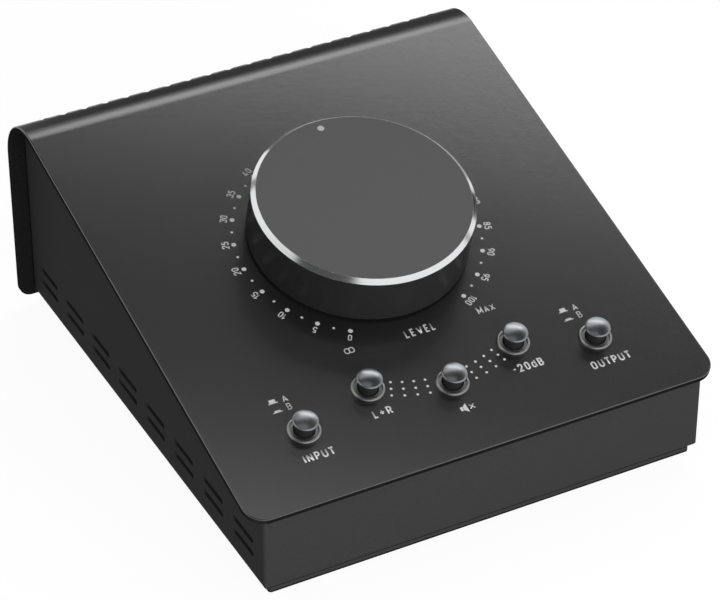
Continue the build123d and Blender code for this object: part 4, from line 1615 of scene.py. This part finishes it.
@dataclass(frozen=True)
class Flag:
    """A cloth standing on the floor out of the picture, which only reflections show."""

    name: str
    azimuth: float  # degrees from straight behind, towards the right
    distance: float  # metres
    width: float
    height: float
    colour: str

    def build(self) -> None:
        """Stands the cloth up, square to the object."""
        finish = Finish(f"{self.name}_cloth", self.colour, 1.0, specular=0.0)
        cloth = grid(self.name, 1, 0.5, finish)
        sized = Matrix.Diagonal((self.width, self.height, 1, 1)) @ Matrix.Translation((0, 0.5, 0))
        upright = Matrix.Translation((0, self.distance, 0)) @ Matrix.Rotation(math.pi / 2, 4, "X")
        cloth.data.transform(Matrix.Rotation(-math.radians(self.azimuth), 4, "Z") @ upright @ sized)
        cloth.visible_camera = False
        cloth.visible_diffuse = False
        cloth.visible_shadow = False


SEEN = ("Camera", "Glossy", "Transmission")  # rays that see the background as it is


def ray_is(tree: NodeTree, *kinds: str) -> NodeSocket:
    """Tells rays of some kinds from all others.

    Args:
        tree: The node tree.
        kinds: The kinds, as the light path node names them.

    Returns:
        1 for rays of these kinds, and 0 for the light that falls on things.
    """
    path = add_node(tree, "ShaderNodeLightPath")
    either, *others = (path.outputs[f"Is {kind} Ray"] for kind in kinds)
    for other in others:
        either = maths(tree, "MAXIMUM", either, other)
    return either


@dataclass(frozen=True)
class PaleFloor(Finish):
    """Matt white paper sweep: nearly the background's white, with the object's shadow on it."""

    glow: float = 0.8
    lift: float = 1.17  # brings the open floor up to the background's white

    def dress(self, shading: Shading) -> None:
        """Mixes the background's white in where the floor is seen.

        Args:
            shading: The material's nodes.
        """
        tree = shading.tree
        glow = add_node(tree, "ShaderNodeEmission", {"Color": (1, 1, 1, 1), "Strength": self.lift})
        share = maths(tree, "MULTIPLY", ray_is(tree, *SEEN), self.glow)
        sides = {0: share, 1: shading.shader.outputs["BSDF"], 2: glow.outputs["Emission"]}
        mixed = add_node(tree, "ShaderNodeMixShader", sides)
        output = next(n for n in tree.nodes if n.type == "OUTPUT_MATERIAL")
        tree.links.new(mixed.outputs["Shader"], output.inputs["Surface"])


@dataclass
class Studio:
    """Floor, background, lamps and camera."""

    drawing: Drawing
    polished: Sequence[Object]
    lens: float = 163.73
    stand: Vector = field(default_factory=lambda: Vector((-318.03, -608.25, 472.99)))
    aim: Vector = field(default_factory=lambda: Vector((-12.53, -25.24, 0.0)))
    lamps: tuple[Softbox, ...] = (
        Softbox("softbox_behind_right", 43.3, 45.1, 0.785, 0.58, 0.22, 2.72, roll=13.3),
        Softbox(
            "strip_overhead", -173, 89.5, 0.4, 0.514, 0.224, 1.0, -20.0,
            on_matt=False, reach=Reach.NOT_POLISHED,
        ),
        Softbox(
            "cap_softbox_behind", 20, 64, 0.785, 0.6, 0.26, 0.85, 6.0, reach=Reach.ONLY_POLISHED
        ),
        Softbox(
            "cap_softbox_front", -150, 66, 0.785, 0.6, 0.5, 0.42, reach=Reach.ONLY_POLISHED
        ),
        Softbox("softbox_front", -178, 10, 0.9, 0.7, 0.5, 5.6, in_gloss=False),
    )
    cards: tuple[DarkCard, ...] = (
        DarkCard(-129, 28, 22, 23, soft=10),
        DarkCard(99, 3, 6, 5, light=0.3),
    )
    flags: tuple[Flag, ...] = (
        Flag("flag_behind", 20.3, 0.34, 0.21, 0.25, "#787878"),
        Flag("flag_behind_left", -22, 0.344, 0.05, 0.175, "#505050"),
        Flag("flag_right", 77, 0.35, 0.12, 0.075, "#303030"),
    )
    ambient: float = 0.3
    ceiling: tuple[float, float] = (32.0, 45.0)  # elevations between which the cloths end
    ceiling_light: float = 0.03

    def build(self) -> None:
        """Sets up the studio."""
        grid("studio_floor", 4, 4.0, PaleFloor("white_paper_sweep", "#cccccc", 0.9, specular=0.1))
        for flag in self.flags:
            flag.build()
        self.world()
        self.camera()
        for lamp in self.lamps:
            lamp.build(self.drawing.axis_point * MM, self.polished)

    def world(self) -> None:
        """White all round, with the dark ceiling and gaps that polished surfaces pick up."""
        world = bpy.data.worlds.new("studio")
        bpy.context.scene.world = world
        world.use_nodes = True
        tree = world.node_tree
        tree.nodes.clear()
        level = remapped(tree, ray_is(tree, *SEEN), (self.ambient, 1.0))
        shade = remapped(tree, ray_is(tree, "Glossy", "Transmission"), (1.0, self.cloths(tree)))
        white = {"Color": (1, 1, 1, 1), "Strength": maths(tree, "MULTIPLY", level, shade)}
        background = add_node(tree, "ShaderNodeBackground", white)
        output = add_node(tree, "ShaderNodeOutputWorld")
        tree.links.new(background.outputs["Background"], output.inputs["Surface"])

    def cloths(self, tree: NodeTree) -> NodeSocket:
        """Works out how light the studio is in each direction, seen in a mirror.

        Args:
            tree: The world's node tree.

        Returns:
            The light, from 0 to 1.
        """
        ray = add_node(tree, "ShaderNodeTexCoord").outputs["Generated"]
        x, y, z = add_node(tree, "ShaderNodeSeparateXYZ", {"Vector": ray}).outputs
        turn, lift = maths(tree, "ARCTAN2", x, y), maths(tree, "ARCSINE", z)
        light = self.step(tree, lift, self.ceiling, (1.0, self.ceiling_light))
        for card in self.cards:
            across = self.nearness(tree, turn, card.azimuth, card.half_width, card.soft)
            up = self.nearness(tree, lift, card.elevation, card.half_height, card.soft)
            dark = remapped(tree, maths(tree, "MULTIPLY", across, up), (1.0, card.light))
            light = maths(tree, "MULTIPLY", light, dark)
        return light

    def nearness(
        self, tree: NodeTree, angle: NodeSocket, middle: float, half: float, soft: float
    ) -> NodeSocket:
        """1 where an angle is within half of the middle, falling softly to 0 outside."""
        away = maths(tree, "ABSOLUTE", maths(tree, "SUBTRACT", angle, math.radians(middle)))
        return self.step(tree, away, (half - soft / 2, half + soft / 2), (1.0, 0.0))

    def step(self, tree: NodeTree, angle: NodeSocket, degrees: Span, values: Span) -> NodeSocket:
        """A smooth step from one value to another between two angles."""
        given = (math.radians(degrees[0]), math.radians(degrees[1]))
        return remapped(tree, angle, values, given, interpolation_type="SMOOTHSTEP")

    def camera(self) -> None:
        """A long lens from the front left, looking down."""
        camera = bpy.data.cameras.new("camera")
        camera.lens = self.lens
        camera.sensor_width = 36.0
        camera.clip_end = 50.0
        holder = placed("camera", camera)
        place = (self.drawing.axis_point + self.stand) * MM
        target = (self.drawing.axis_point + self.aim) * MM
        turn = (target - place).to_track_quat("-Z", "Y")
        holder.matrix_world = Matrix.Translation(place) @ turn.to_matrix().to_4x4()
        bpy.context.scene.camera = holder


# ---- assembly ----
def main() -> None:
    """Loads the frame, dresses it and sets up the studio."""
    logging.basicConfig(level=logging.INFO, format="%(message)s")
    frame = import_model()
    drawing = Drawing.read(frame)
    dress_nodes(frame)
    Cover(drawing).build()
    Feet(drawing).build()
    Knob(drawing).build()
    caps = [PushButton(drawing, button).build() for button in Button]
    Legends(drawing).build()
    Sockets(drawing).build()
    Studio(drawing, caps).build()
    bpy.context.scene.view_settings.view_transform = "Standard"


if __name__ == "__main__":
    main()
